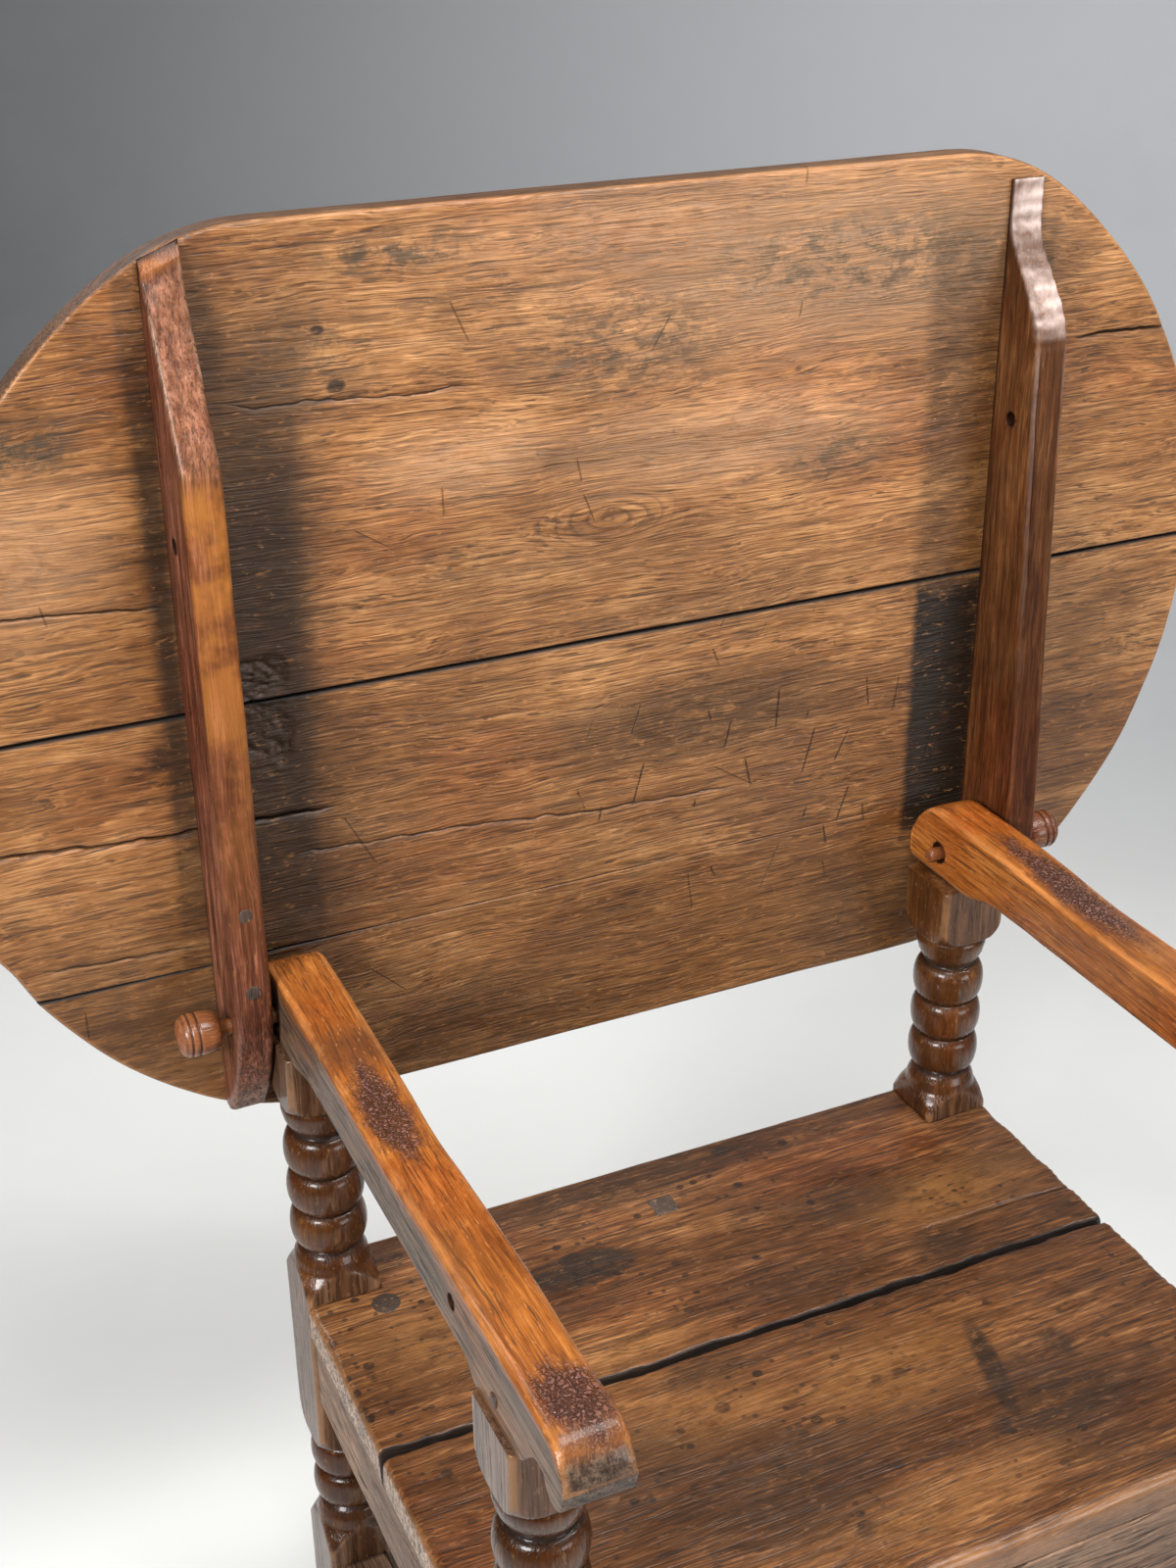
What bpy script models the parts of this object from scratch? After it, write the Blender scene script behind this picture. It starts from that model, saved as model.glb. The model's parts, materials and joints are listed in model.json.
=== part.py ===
# A monks bench: a joined oak chair whose tall back tilts forward on two pins
# and lies on the arms as a table. Metres, +Z up. Seen from the front, +X is to the right
# and +Y to the rear. The origin is on the floor, in the middle of the bench's width and depth.
import math

import bmesh
import bpy

# Driving dimensions of the base
post_size = 0.056
seat_width = 0.584
seat_depth = 0.451
seat_height = 0.430
seat_thickness = 0.027
arm_rise = 0.268
arm_thickness = 0.045
arm_width = 0.041
arm_overhang = 0.0625
rail_height = 0.063
front_rail_height = 0.075
rail_thickness = 0.024
stretcher_height = 0.044
stretcher_thickness = 0.034
stretcher_top = 0.168

# Driving dimensions of the tilting top and its pins
top_length = 0.984
top_width = 0.630
top_thickness = 0.024
top_drop = 0.105
batten_thickness = 0.026
batten_depth = 0.060
pin_diameter = 0.011
knob_diameter = 0.030
knob_length = 0.029

# Clearances
fit = 0.0003
notch_gap = 0.0005
swing_gap = 0.0005
board_gap = 0.004
batten_gap = 0.0016

# Places worked out from the driving dimensions
half_post = post_size / 2
post_corner = half_post * math.sqrt(2)
post_x = (seat_width - post_size) / 2
post_y = (seat_depth - post_size) / 2
seat_under = seat_height - seat_thickness
arm_top = seat_height + arm_rise
arm_under = arm_top - arm_thickness
arm_pad = 0.22 * arm_thickness
pivot_drop = 0.8267 * arm_thickness
arm_setback = 0.003
pad_under = arm_under - arm_pad
arm_outer = seat_width / 2 - arm_setback
arm_inner = arm_outer - arm_width
arm_front = -(seat_depth / 2 + arm_overhang)
pivot_y = post_y + 0.1 * post_size
pivot_z = arm_top - pivot_drop
nose_y = pivot_y + pivot_drop
top_face = pivot_drop + swing_gap
batten_inner = seat_width / 2 + batten_gap
batten_outer = batten_inner + batten_thickness
lock_reach = 0.792 * (pivot_y + seat_depth / 2)
lock_rise = 0.4 * pivot_drop
lock_radius = 0.005
post_sides = 16
pin_sides = 16
tenon_length = 0.36 * post_size
tenon_thickness = 0.19 * post_size
arm_tenon_height = 0.58 * arm_thickness
draw_peg_radius = 0.0045
draw_peg_length = 0.032
drill_past = 0.01
draw_peg_z = pad_under + 0.55 * arm_tenon_height
middle_y = (pivot_y + top_face + top_thickness + arm_front) / 2


# Scene and materials

def clear_scene():
    for obj in list(bpy.data.objects):
        bpy.data.objects.remove(obj)


def oak(name, colour, roughness):
    material = bpy.data.materials.new(name)
    material.use_nodes = True
    shader = material.node_tree.nodes["Principled BSDF"]
    shader.inputs["Base Color"].default_value = (*colour, 1.0)
    shader.inputs["Roughness"].default_value = roughness
    shader.inputs["Metallic"].default_value = 0.0
    material.diffuse_color = (*colour, 1.0)
    return material


def empty(name, location, parent=None):
    obj = bpy.data.objects.new(name, None)
    obj.location = location
    obj.parent = parent
    bpy.context.scene.collection.objects.link(obj)
    return obj


# Building blocks

def loft(rings, bm=None):
    """Skin a closed body over rings that all have the same number of points."""
    if bm is None:
        bm = bmesh.new()
    loops = [[bm.verts.new(point) for point in ring] for ring in rings]
    count = len(loops[0])
    for low, high in zip(loops, loops[1:]):
        for i in range(count):
            j = (i + 1) % count
            bm.faces.new((low[i], low[j], high[j], high[i]))
    bm.faces.new(loops[0][::-1])
    bm.faces.new(loops[-1])
    return bm


def placed(axis, along, u, v):
    """A point at a distance along one axis, with u and v on the other two in order."""
    point = [u, v]
    point.insert(axis, along)
    return tuple(point)


def turned(axis, centre, stations, sides, bm=None):
    """A turned body about an axis line, from (distance along, radius) stations."""
    rings = []
    for along, radius in stations:
        ring = []
        for i in range(sides):
            angle = 2 * math.pi * i / sides
            u = centre[0] + radius * math.cos(angle)
            v = centre[1] + radius * math.sin(angle)
            ring.append(placed(axis, along, u, v))
        rings.append(ring)
    return loft(rings, bm)


def extruded(axis, start, end, outline, bm=None):
    """A prism along one axis; its outline is (u, v) on the other two axes in order."""
    rings = [[placed(axis, along, u, v) for u, v in outline] for along in (start, end)]
    return loft(rings, bm)


def middle_of(edge):
    return (edge.verts[0].co + edge.verts[1].co) / 2


def soften(bm, wanted, width, segments=2):
    """Round the edges that are wanted."""
    edges = [edge for edge in bm.edges if wanted(edge)]
    bmesh.ops.bevel(bm, geom=edges, offset=width, segments=segments, affect="EDGES", clamp_overlap=True)


def inward_normals(outline):
    """A unit step into the body from each point of a closed outline."""
    count = len(outline)
    area = 0.0
    for i in range(count):
        (u0, v0), (u1, v1) = outline[i - 1], outline[i]
        area += u0 * v1 - u1 * v0
    turn = 1 if area > 0 else -1
    normals = []
    for i in range(count):
        (u0, v0), (u1, v1), (u2, v2) = outline[i - 1], outline[i], outline[(i + 1) % count]
        before = math.hypot(u1 - u0, v1 - v0)
        after = math.hypot(u2 - u1, v2 - v1)
        along_u = (u1 - u0) / before + (u2 - u1) / after
        along_v = (v1 - v0) / before + (v2 - v1) / after
        length = math.hypot(along_u, along_v)
        normals.append((-turn * along_v / length, turn * along_u / length))
    return normals


def eased(start, end, outline, arrises):
    """A prism along X whose end faces round into its sides by the arris of each outline point."""
    normals = inward_normals(outline)
    widest = max(arrises)
    step = widest if end > start else -widest
    rings = []
    for along, share in (
        (start, 1.0),
        (start + 0.3 * step, 0.3),
        (start + step, 0.0),
        (end - step, 0.0),
        (end - 0.3 * step, 0.3),
        (end, 1.0),
    ):
        ring = []
        for (u, v), (normal_u, normal_v), arris in zip(outline, normals, arrises):
            ring.append((along, u + share * arris * normal_u, v + share * arris * normal_v))
        rings.append(ring)
    return loft(rings)


def solid(name, bm, material, parent, location=(0.0, 0.0, 0.0)):
    bmesh.ops.recalc_face_normals(bm, faces=bm.faces)
    bmesh.ops.triangulate(bm, faces=bm.faces)
    mesh = bpy.data.meshes.new(name)
    bm.to_mesh(mesh)
    bm.free()
    mesh.shade_smooth()
    mesh.set_sharp_from_angle(angle=math.radians(35))
    mesh.materials.append(material)
    obj = bpy.data.objects.new(name, mesh)
    obj.location = location
    obj.parent = parent
    bpy.context.scene.collection.objects.link(obj)
    return obj


def cut(obj, bm):
    """Cut a body out of an object with a hidden wire cutter."""
    bmesh.ops.recalc_face_normals(bm, faces=bm.faces)
    mesh = bpy.data.meshes.new(obj.name + "_cutter")
    bm.to_mesh(mesh)
    bm.free()
    cutter = bpy.data.objects.new(mesh.name, mesh)
    cutter.location = obj.location
    cutter.parent = obj.parent
    cutter.hide_render = True
    cutter.display_type = "WIRE"
    bpy.context.scene.collection.objects.link(cutter)
    modifier = obj.modifiers.new("cut", "BOOLEAN")
    modifier.operation = "DIFFERENCE"
    modifier.solver = "EXACT"
    modifier.object = cutter


def smooth_step(t):
    return t * t * (3 - 2 * t)


def steps(count):
    return [i / count for i in range(1, count + 1)]


# Posts: square stock with bobbin turning above and below the seat block

def bead(low, high, groove, crest, count=5):
    """Stations of one turned bead, from just past its lower groove to its upper groove."""
    stations = []
    for t in steps(count):
        along = low + (high - low) * (1 - math.cos(math.pi * t)) / 2
        radius = groove + (crest - groove) * math.sin(math.pi * t)
        stations.append((along, radius))
    return stations


def bell(low, span):
    """Stations from a block's corner tips up through the pyramid and bell to the first groove."""
    return [
        (low, post_corner),
        (low + 0.27 * span, 1.20 * half_post),
        (low + 0.50 * span, half_post),
        (low + 0.70 * span, 0.95 * half_post),
        (low + 0.88 * span, 0.85 * half_post),
        (low + span, 0.70 * half_post),
    ]


def shoulder(low, span):
    """Stations of the rounded shoulder where the lathe's cut runs out into the square block above."""
    stations = [(low, 0.92 * half_post), (low + 0.10 * span, 0.93 * half_post)]
    for t in [0.0] + steps(4):
        rise = 0.12 + 0.88 * (1 - math.cos(0.5 * math.pi * t))
        radius = half_post + (post_corner - half_post) * math.sin(0.5 * math.pi * t)
        stations.append((low + rise * span, radius))
    return stations


def post_stations():
    """Height and lathe radius all the way up a post; the square stock limits the radius."""
    groove = 0.70 * half_post
    block_over_stretcher = 0.012
    stretcher_block = stretcher_top + block_over_stretcher
    under = seat_height - stretcher_block
    stations = bell(stretcher_block, 0.152 * under)
    low_bead = 0.126 * under
    for i in range(2):
        base = stretcher_block + 0.152 * under + i * low_bead
        stations += bead(base, base + low_bead, groove, half_post)
    stations += shoulder(stretcher_block + 0.404 * under, 0.096 * under)
    over = pad_under - seat_height
    stations += bell(seat_height + 0.015 * over, 0.159 * over)
    high_bead = 0.155 * over
    for i in range(3):
        base = seat_height + 0.174 * over + i * high_bead
        stations += bead(base, base + high_bead, groove, half_post)
    collar = seat_height + 0.639 * over
    stations += [(collar + 0.05 * over, 0.90 * half_post), (collar + 0.09 * over, 0.97 * half_post)]
    stations += shoulder(collar + 0.118 * over, 0.085 * over)
    return stations


def post_ring(z, radius, half):
    ring = []
    for i in range(post_sides):
        angle = 2 * math.pi * i / post_sides
        square = half / max(abs(math.cos(angle)), abs(math.sin(angle)))
        reach = min(radius, square)
        ring.append((reach * math.cos(angle), reach * math.sin(angle), z))
    return ring


def tenon_ring(z, radius, shift_y):
    ring = []
    for i in range(post_sides):
        angle = 2 * math.pi * i / post_sides
        ring.append((radius * math.cos(angle), radius * math.sin(angle) + shift_y, z))
    return ring


def arm_tenon(rear):
    """Radius and Y shift of a post's round tenon in the arm; the rear one stands ahead of the pivot hole."""
    if rear:
        return 0.15 * post_size, -0.275 * post_size
    return 0.2 * post_size, 0.0


def post(name, side, end, material, parent):
    foot_chamfer = 0.003
    rings = [
        post_ring(0.0, post_corner, half_post - foot_chamfer),
        post_ring(foot_chamfer, post_corner, half_post),
    ]
    rings += [post_ring(z, radius, half_post) for z, radius in post_stations()]
    rings.append(post_ring(pad_under - fit, post_corner, half_post))
    tenon_radius, shift_y = arm_tenon(end > 0)
    rings.append(tenon_ring(pad_under - fit, tenon_radius, shift_y))
    rings.append(tenon_ring(pad_under + arm_tenon_height, tenon_radius, shift_y))
    obj = solid(name, loft(rings), material, parent, (side * post_x, end * post_y, 0.0))
    cutter = bmesh.new()
    for rail in rails:
        if rail["axis"] == 0 and rail["end"] == end:
            spot = (rail["tenon_u"] - end * post_y, -side)
            mortise(cutter, 0, spot, rail)
        if rail["axis"] == 1 and rail["end"] == side:
            spot = (rail["tenon_u"] - side * post_x, -end)
            mortise(cutter, 1, spot, rail)
    if end < 0:
        peg_outside = side * (tenon_radius + fit)
        peg_inside = side * (arm_outer - draw_peg_length - post_x - fit)
        drilled = draw_peg_radius + fit
        turned(0, (0.0, draw_peg_z), [(peg_outside, drilled), (peg_inside, drilled)], pin_sides, cutter)
    cut(obj, cutter)


# Rails and stretchers, tenoned into the posts

def bar_section(outer, inner, low, high, groove):
    """A rectangle with small chamfers, and a run moulding near the bottom of its outer face if it has one."""
    chamfer = 0.0015
    step = chamfer if inner > outer else -chamfer
    section = [
        (outer, high - chamfer),
        (outer + step, high),
        (inner - step, high),
        (inner, high - chamfer),
        (inner, low + chamfer),
        (inner - step, low),
        (outer + step, low),
        (outer, low + chamfer),
    ]
    if groove:
        deep = outer + 1.5 * step
        lip = low + 0.17 * (high - low)
        run = 0.0025
        section += [(outer, lip - 1.1 * run), (deep, lip - run / 2)]
        section += [(deep, lip + run / 2), (outer, lip + 1.1 * run)]
    return section


def rail_table():
    """The eight bars: axis they run along, the side of the bench they are on, and their section."""
    setback = 0.002
    tenon_shoulder = 0.008
    table = []
    for name, axis, end, height, thickness, top in (
        ("rail_front", 0, -1, front_rail_height, rail_thickness, seat_under - fit),
        ("rail_rear", 0, 1, rail_height, rail_thickness, seat_under - fit),
        ("rail_left", 1, -1, rail_height, rail_thickness, seat_under - fit),
        ("rail_right", 1, 1, rail_height, rail_thickness, seat_under - fit),
        ("stretcher_front", 0, -1, stretcher_height, stretcher_thickness, stretcher_top),
        ("stretcher_rear", 0, 1, stretcher_height, stretcher_thickness, stretcher_top),
        ("stretcher_left", 1, -1, stretcher_height, stretcher_thickness, stretcher_top),
        ("stretcher_right", 1, 1, stretcher_height, stretcher_thickness, stretcher_top),
    ):
        centre = post_y if axis == 0 else post_x
        outer = end * (centre + half_post - setback)
        if name.startswith("stretcher"):
            outer = end * (centre + thickness / 2)
        inner = outer - end * thickness
        low = top - height
        table.append({
            "name": name,
            "axis": axis,
            "end": end,
            "half_length": (post_x if axis == 0 else post_y) - half_post - fit,
            "section": bar_section(outer, inner, low, top, name == "rail_front"),
            "tenon_u": (outer + inner) / 2,
            "tenon_z": (low + top) / 2,
            "tenon_height": height - 2 * tenon_shoulder,
            "width": thickness,
            "height": height,
        })
    return table


def mortise(bm, axis, spot, rail):
    """Add one mortise, in a post's own frame, for the tenon of a rail that comes in along the axis."""
    across, inward = spot
    half_thickness = tenon_thickness / 2 + fit
    half_height = rail["tenon_height"] / 2 + fit
    start = inward * (half_post - tenon_length - fit)
    end = inward * (half_post + 2 * fit)
    low_u, high_u = across - half_thickness, across + half_thickness
    low_z, high_z = rail["tenon_z"] - half_height, rail["tenon_z"] + half_height
    extruded(axis, start, end, [(low_u, low_z), (high_u, low_z), (high_u, high_z), (low_u, high_z)], bm)


def bar(rail, material, parent):
    """A rail or stretcher with a shouldered tenon on each end."""
    scale_u = tenon_thickness / rail["width"]
    scale_z = rail["tenon_height"] / rail["height"]
    tenon = []
    for u, z in rail["section"]:
        tenon_u = rail["tenon_u"] + (u - rail["tenon_u"]) * scale_u
        tenon_z = rail["tenon_z"] + (z - rail["tenon_z"]) * scale_z
        tenon.append((tenon_u, tenon_z))
    reach = rail["half_length"] + tenon_length
    rings = []
    for along, section in (
        (-reach, tenon),
        (-rail["half_length"], tenon),
        (-rail["half_length"], rail["section"]),
        (rail["half_length"], rail["section"]),
        (rail["half_length"], tenon),
        (reach, tenon),
    ):
        rings.append([placed(rail["axis"], along, u, z) for u, z in section])
    solid(rail["name"], loft(rings), material, parent)


# Seat boards, notched round the posts

joint_y = 0.025 * seat_depth
seat_end = seat_width / 2
seat_setback = 0.003
seat_edge = seat_depth / 2 - seat_setback
notch_x = post_x - half_post - notch_gap
notch_y = post_y - half_post - notch_gap
plug_depth = 0.012
round_plug = (-0.41 * seat_width, 0.335 * seat_depth)
round_plug_radius = 0.011
square_plug = (-0.012 * seat_width, 0.37 * seat_depth)
square_plug_half = 0.010


def seat_board(name, end, material, parent):
    inside = joint_y + end * board_gap / 2
    outline = [
        (-seat_end, inside),
        (seat_end, inside),
        (seat_end, end * notch_y),
        (notch_x, end * notch_y),
        (notch_x, end * seat_edge),
        (-notch_x, end * seat_edge),
        (-notch_x, end * notch_y),
        (-seat_end, end * notch_y),
    ]
    bm = extruded(2, seat_under, seat_height, outline)
    nosing = 0.007 if end < 0 else 0.003
    end_wear = 0.004

    def worn(edge):
        middle = middle_of(edge)
        return middle.z > seat_height - fit and abs(abs(middle.x) - seat_end) < fit

    def long_edge(edge):
        middle = middle_of(edge)
        return middle.z > seat_height - fit and abs(middle.y - end * seat_edge) < fit

    soften(bm, long_edge, nosing, 3)
    soften(bm, worn, end_wear)
    return solid(name, bm, material, parent)


def square_outline(centre, half):
    return [
        (centre[0] - half, centre[1] - half),
        (centre[0] + half, centre[1] - half),
        (centre[0] + half, centre[1] + half),
        (centre[0] - half, centre[1] + half),
    ]


def seat(board_material, plug_material, parent):
    seat_board("seat_board_front", -1, board_material, parent)
    rear = seat_board("seat_board_rear", 1, board_material, parent)
    floor = seat_height - plug_depth
    drilled = round_plug_radius + fit
    hole = turned(2, round_plug, [(floor, drilled), (seat_height + fit, drilled)], pin_sides)
    extruded(2, floor, seat_height + fit, square_outline(square_plug, square_plug_half + fit), hole)
    cut(rear, hole)
    stations = [(floor + fit, round_plug_radius), (seat_height, round_plug_radius)]
    solid("seat_plug_round", turned(2, round_plug, stations, pin_sides), plug_material, parent)
    square = extruded(2, floor + fit, seat_height, square_outline(square_plug, square_plug_half))
    solid("seat_plug_square", square, plug_material, parent)


# Arms: rounded nose at the rear, worn top, cyma notch and drop lobe at the front

def arm_outline():
    points = []
    for t in [0.0] + steps(8):
        angle = 0.5 * math.pi * t
        points.append((pivot_y + pivot_drop * math.cos(angle), pivot_z + pivot_drop * math.sin(angle)))
    dip = 0.005
    dip_rear = pivot_y - 0.8 * pivot_drop
    dip_front = -post_y + half_post
    for t in steps(8):
        y = dip_rear + (dip_front - dip_rear) * t
        points.append((y, arm_top - dip * math.sin(math.pi * t) ** 2))
    roll = 0.38 * arm_overhang
    roll_drop = 0.6 * arm_thickness
    for t in [0.0] + steps(5):
        angle = 0.5 * math.pi * t
        y = arm_front + roll * (1 - math.sin(angle))
        points.append((y, arm_top - roll_drop * (1 - math.cos(angle))))
    lobe = 0.18 * arm_overhang
    lobe_front = arm_front + 0.03 * arm_overhang
    lobe_under = arm_under + 0.033 * arm_thickness
    for t in [0.0] + steps(5):
        angle = math.pi * (1 + t)
        y = lobe_front + lobe * (1 + math.cos(angle))
        points.append((y, lobe_under + 0.9 * lobe * (1 + math.sin(angle))))
    notch = arm_front + 0.53 * arm_overhang
    notch_top = arm_under + 0.27 * arm_thickness
    post_front = -post_y - half_post
    for t in [0.0] + steps(5):
        y = notch + (post_front - notch) * t
        points.append((y, notch_top + (pad_under - notch_top) * smooth_step(t)))
    post_back = -post_y + half_post
    front_pad_run = 0.016
    for t in [0.0] + steps(3):
        points.append((post_back + front_pad_run * t, pad_under + arm_pad * smooth_step(t)))
    rear_pad = post_y - half_post
    rear_pad_run = 0.050
    for t in [0.0] + steps(4):
        points.append((rear_pad - rear_pad_run * (1 - t), arm_under - arm_pad * smooth_step(t)))
    heel = 0.006
    for t in [0.0] + steps(3):
        angle = 0.5 * math.pi * t
        points.append((nose_y - heel + heel * math.sin(angle), pad_under + heel * (1 - math.cos(angle))))
    return points


def bored(bm, centre, ends, radius):
    """Add a round drill body across X to a cutter."""
    return turned(0, centre, [(end, radius) for end in ends], pin_sides, bm)


def arm(name, side, material, peg_material, parent):
    worn_arris = 0.003
    crisp_arris = 0.0006
    outline = arm_outline()
    waist = arm_under + 0.4 * arm_thickness
    arrises = [worn_arris if z > waist else crisp_arris for y, z in outline]
    obj = solid(name, eased(side * arm_inner, side * arm_outer, outline, arrises), material, parent)
    through = (side * (arm_inner - drill_past), side * (arm_outer + drill_past))
    wear = 0.0018
    worn_hole = pin_diameter / 2 + 0.003
    holes = bored(None, (pivot_y - wear, pivot_z + wear), through, worn_hole)
    bored(holes, (pivot_y - lock_reach, pivot_z + lock_rise), through, lock_radius)
    peg_inside = side * (arm_outer - draw_peg_length)
    blind = (peg_inside - side * fit, through[1])
    bored(holes, (-post_y, draw_peg_z), blind, draw_peg_radius + fit)
    cut(obj, holes)
    sockets = bmesh.new()
    for end in (-1, 1):
        tenon_radius, shift_y = arm_tenon(end > 0)
        radius = tenon_radius + fit
        socket = [(pad_under - drill_past, radius), (pad_under + arm_tenon_height + fit, radius)]
        turned(2, (side * post_x, end * post_y + shift_y), socket, post_sides, sockets)
    cut(obj, sockets)
    proud = 0.0008
    peg = bored(None, (-post_y, draw_peg_z), (peg_inside, side * (arm_outer + proud)), draw_peg_radius)
    solid(name.replace("arm", "arm_peg"), peg, peg_material, parent)


# Tilting top: three boards with straight long edges and bowed ends, on two battens

half_width_top = top_width / 2
end_radius = 0.55 * top_width
corner_radius = 0.5 * half_width_top
end_centre = top_length / 2 - end_radius
corner_centre_z = half_width_top - corner_radius
corner_centre_x = end_centre + math.sqrt((end_radius - corner_radius) ** 2 - corner_centre_z ** 2)
top_middle = half_width_top - top_drop
rim = 0.006
main_joint = 0.01 * top_width
low_joint = -0.29 * top_width


def reach_at(height, inset):
    """Half the top's length at a height from its middle line, inset from the rim."""
    height = abs(height)
    end_arc = end_radius - inset
    if height < end_arc * corner_centre_z / (end_radius - corner_radius):
        return end_centre + math.sqrt(end_arc ** 2 - height ** 2)
    corner_arc = corner_radius - inset
    return corner_centre_x + math.sqrt(max(corner_arc ** 2 - (height - corner_centre_z) ** 2, 0.0))


def board_ring(y, low, high, inset, ease):
    """One ring of a board's outline; edges on a joint keep a small arris, edges on the rim take the inset."""
    arris = 0.2 * inset
    low += inset if low <= -half_width_top else arris
    high -= inset if high >= half_width_top else arris
    right = []
    for t in [0.0] + steps(11):
        height = low + (high - low) * ease(t)
        right.append((reach_at(height, inset), y, top_middle + height))
    left = [(-x, y, z) for x, y, z in reversed(right)]
    return right + left


def top_board(name, low, high, ease, material, parent):
    rings = []
    for depth, inset in (
        (0.0, rim),
        (0.3 * rim, 0.3 * rim),
        (rim, 0.0),
        (top_thickness - rim, 0.0),
        (top_thickness - 0.3 * rim, 0.3 * rim),
        (top_thickness, rim),
    ):
        rings.append(board_ring(top_face + depth, low, high, inset, ease))
    solid(name, loft(rings), material, parent)


def ease_up(t):
    return math.sin(0.5 * math.pi * t)


def ease_down(t):
    return 1 - math.cos(0.5 * math.pi * t)


batten_inset = 0.020
batten_low = -0.83 * top_drop
batten_high = top_width - top_drop - batten_inset
heel_start = 0.020
heel_depth = 0.20 * batten_depth
tip_depth = 0.004


def batten_outline(depth_low, depth_high, taper, curve):
    """Side outline as (Y, Z) from the pivot: a full-depth middle, a curved heel and a thinned upper end."""
    profile = []
    for t in [1.0] + [1 - s for s in steps(5)]:
        fall = (depth_low - heel_depth) * t ** 1.6
        profile.append((heel_start + (batten_low - heel_start) * t, depth_low - fall))
    for t in [0.0] + steps(6):
        thin = depth_high + (tip_depth - depth_high) * curve(t)
        profile.append((batten_high - taper * (1 - t), thin))
    front = [(top_face - depth, along) for along, depth in profile]
    return [(top_face - fit, batten_low)] + front + [(top_face - fit, batten_high)]


def straight(t):
    return t


def ogee(t):
    return smooth_step(min(t / 0.76, 1.0))


def batten(name, side, outline, material, parent):
    front_arris = 0.0025
    back_arris = 0.0002
    tip_line = top_face - 2.2 * tip_depth
    arrises = [front_arris if y < tip_line else back_arris for y, z in outline]
    bm = eased(side * batten_inner, side * batten_outer, outline, arrises)
    obj = solid(name, bm, material, parent)
    through = (side * (batten_inner - drill_past), side * (batten_outer + drill_past))
    holes = bored(None, (0.0, 0.0), through, pin_diameter / 2 + fit)
    bored(holes, (lock_rise, lock_reach), through, lock_radius)
    cut(obj, holes)
    return obj


left_thin = 0.95
left_taper = 0.18 * top_width
left_peg_heights = {"batten_peg_left": 0.035, "batten_peg_left_upper": 0.094}


def left_batten_face(along):
    """Y of the left batten's front face, at a height from the pivot in its full-depth middle."""
    share = (along - heel_start) / (batten_high - left_taper - heel_start)
    return top_face - batten_depth * (1 + (left_thin - 1) * share)


def left_batten_pegs(left, material, parent):
    """Two round pegs let into the left batten's front face above the pivot."""
    radius = 0.0055
    length = 0.015
    drilled = radius + fit
    for name, above_pivot in left_peg_heights.items():
        face = left_batten_face(above_pivot)
        centre = (-(batten_inner + batten_outer) / 2, above_pivot)
        cut(left, turned(1, centre, [(face - fit, drilled), (face + length + fit, drilled)], pin_sides))
        peg = turned(1, centre, [(face, radius), (face + length, radius)], pin_sides)
        solid(name, peg, material, parent)


def tilting_top(materials, parent):
    wood = materials["top"]
    main_gap = board_gap / 4
    top_board("top_board_upper", main_joint + main_gap, half_width_top, ease_up, wood, parent)
    top_board("top_board_middle", low_joint + fit, main_joint - main_gap, straight, wood, parent)
    top_board("top_board_lower", -half_width_top, low_joint - fit, ease_down, wood, parent)
    left_side = batten_outline(batten_depth, left_thin * batten_depth, left_taper, straight)
    right_side = batten_outline(1.08 * batten_depth, 0.78 * batten_depth, 0.167 * top_width, ogee)
    left = batten("batten_left", -1, left_side, materials["batten"], parent)
    batten("batten_right", 1, right_side, materials["batten"], parent)
    left_batten_pegs(left, materials["peg"], parent)


# Pivot pins with a grooved knob

def pivot_pin(name, side, material, parent):
    radius = pin_diameter / 2
    knob = knob_diameter / 2
    stand_off = 0.008
    inner_end = arm_inner - stand_off
    neck_end = batten_outer + stand_off
    tip = 0.0015
    groove = 0.0008
    stations = [
        (inner_end, radius - tip / 2),
        (inner_end + tip, radius),
        (neck_end, radius),
        (neck_end, 0.62 * knob),
    ]
    for t, scale in ((0.08, 0.83), (0.25, 0.97)):
        stations.append((neck_end + t * knob_length, scale * knob))
    for t in (0.52, 0.71):
        stations.append((neck_end + t * knob_length, knob))
        stations.append((neck_end + (t + 0.02) * knob_length, knob - groove))
        stations.append((neck_end + (t + 0.04) * knob_length, knob))
    for t, scale in ((0.88, 0.90), (0.96, 0.65), (1.0, 0.28)):
        stations.append((neck_end + t * knob_length, scale * knob))
    stations = [(side * along, size) for along, size in stations]
    solid(name, turned(0, (0.0, 0.0), stations, pin_sides), material, parent)


# Build the bench

clear_scene()
woods = {
    "post": oak("dark_turned_oak", (0.105, 0.047, 0.021), 0.35),
    "rail": oak("dry_grey_oak", (0.150, 0.098, 0.068), 0.60),
    "seat": oak("stained_seat_oak", (0.120, 0.058, 0.025), 0.40),
    "plug": oak("dark_plug_oak", (0.045, 0.032, 0.025), 0.50),
    "arm": oak("amber_polished_oak", (0.290, 0.100, 0.024), 0.28),
    "top": oak("golden_brown_oak", (0.190, 0.088, 0.032), 0.45),
    "batten": oak("red_brown_oak", (0.155, 0.052, 0.022), 0.38),
    "peg": oak("end_grain_oak", (0.110, 0.060, 0.034), 0.55),
    "pin": oak("chestnut_turned_oak", (0.250, 0.098, 0.036), 0.32),
}
bench = empty("bench", (0.0, -middle_y, 0.0))
pivot = empty("top_pivot", (0.0, pivot_y, pivot_z), bench)
rails = rail_table()
for side, side_name in ((-1, "left"), (1, "right")):
    for end, end_name in ((-1, "front"), (1, "rear")):
        post("post_" + end_name + "_" + side_name, side, end, woods["post"], bench)
    arm("arm_" + side_name, side, woods["arm"], woods["peg"], bench)
    pivot_pin("pivot_pin_" + side_name, side, woods["pin"], pivot)
for rail in rails:
    bar(rail, woods["rail"], bench)
seat(woods["seat"], woods["plug"], bench)
tilting_top(woods, pivot)
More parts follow.
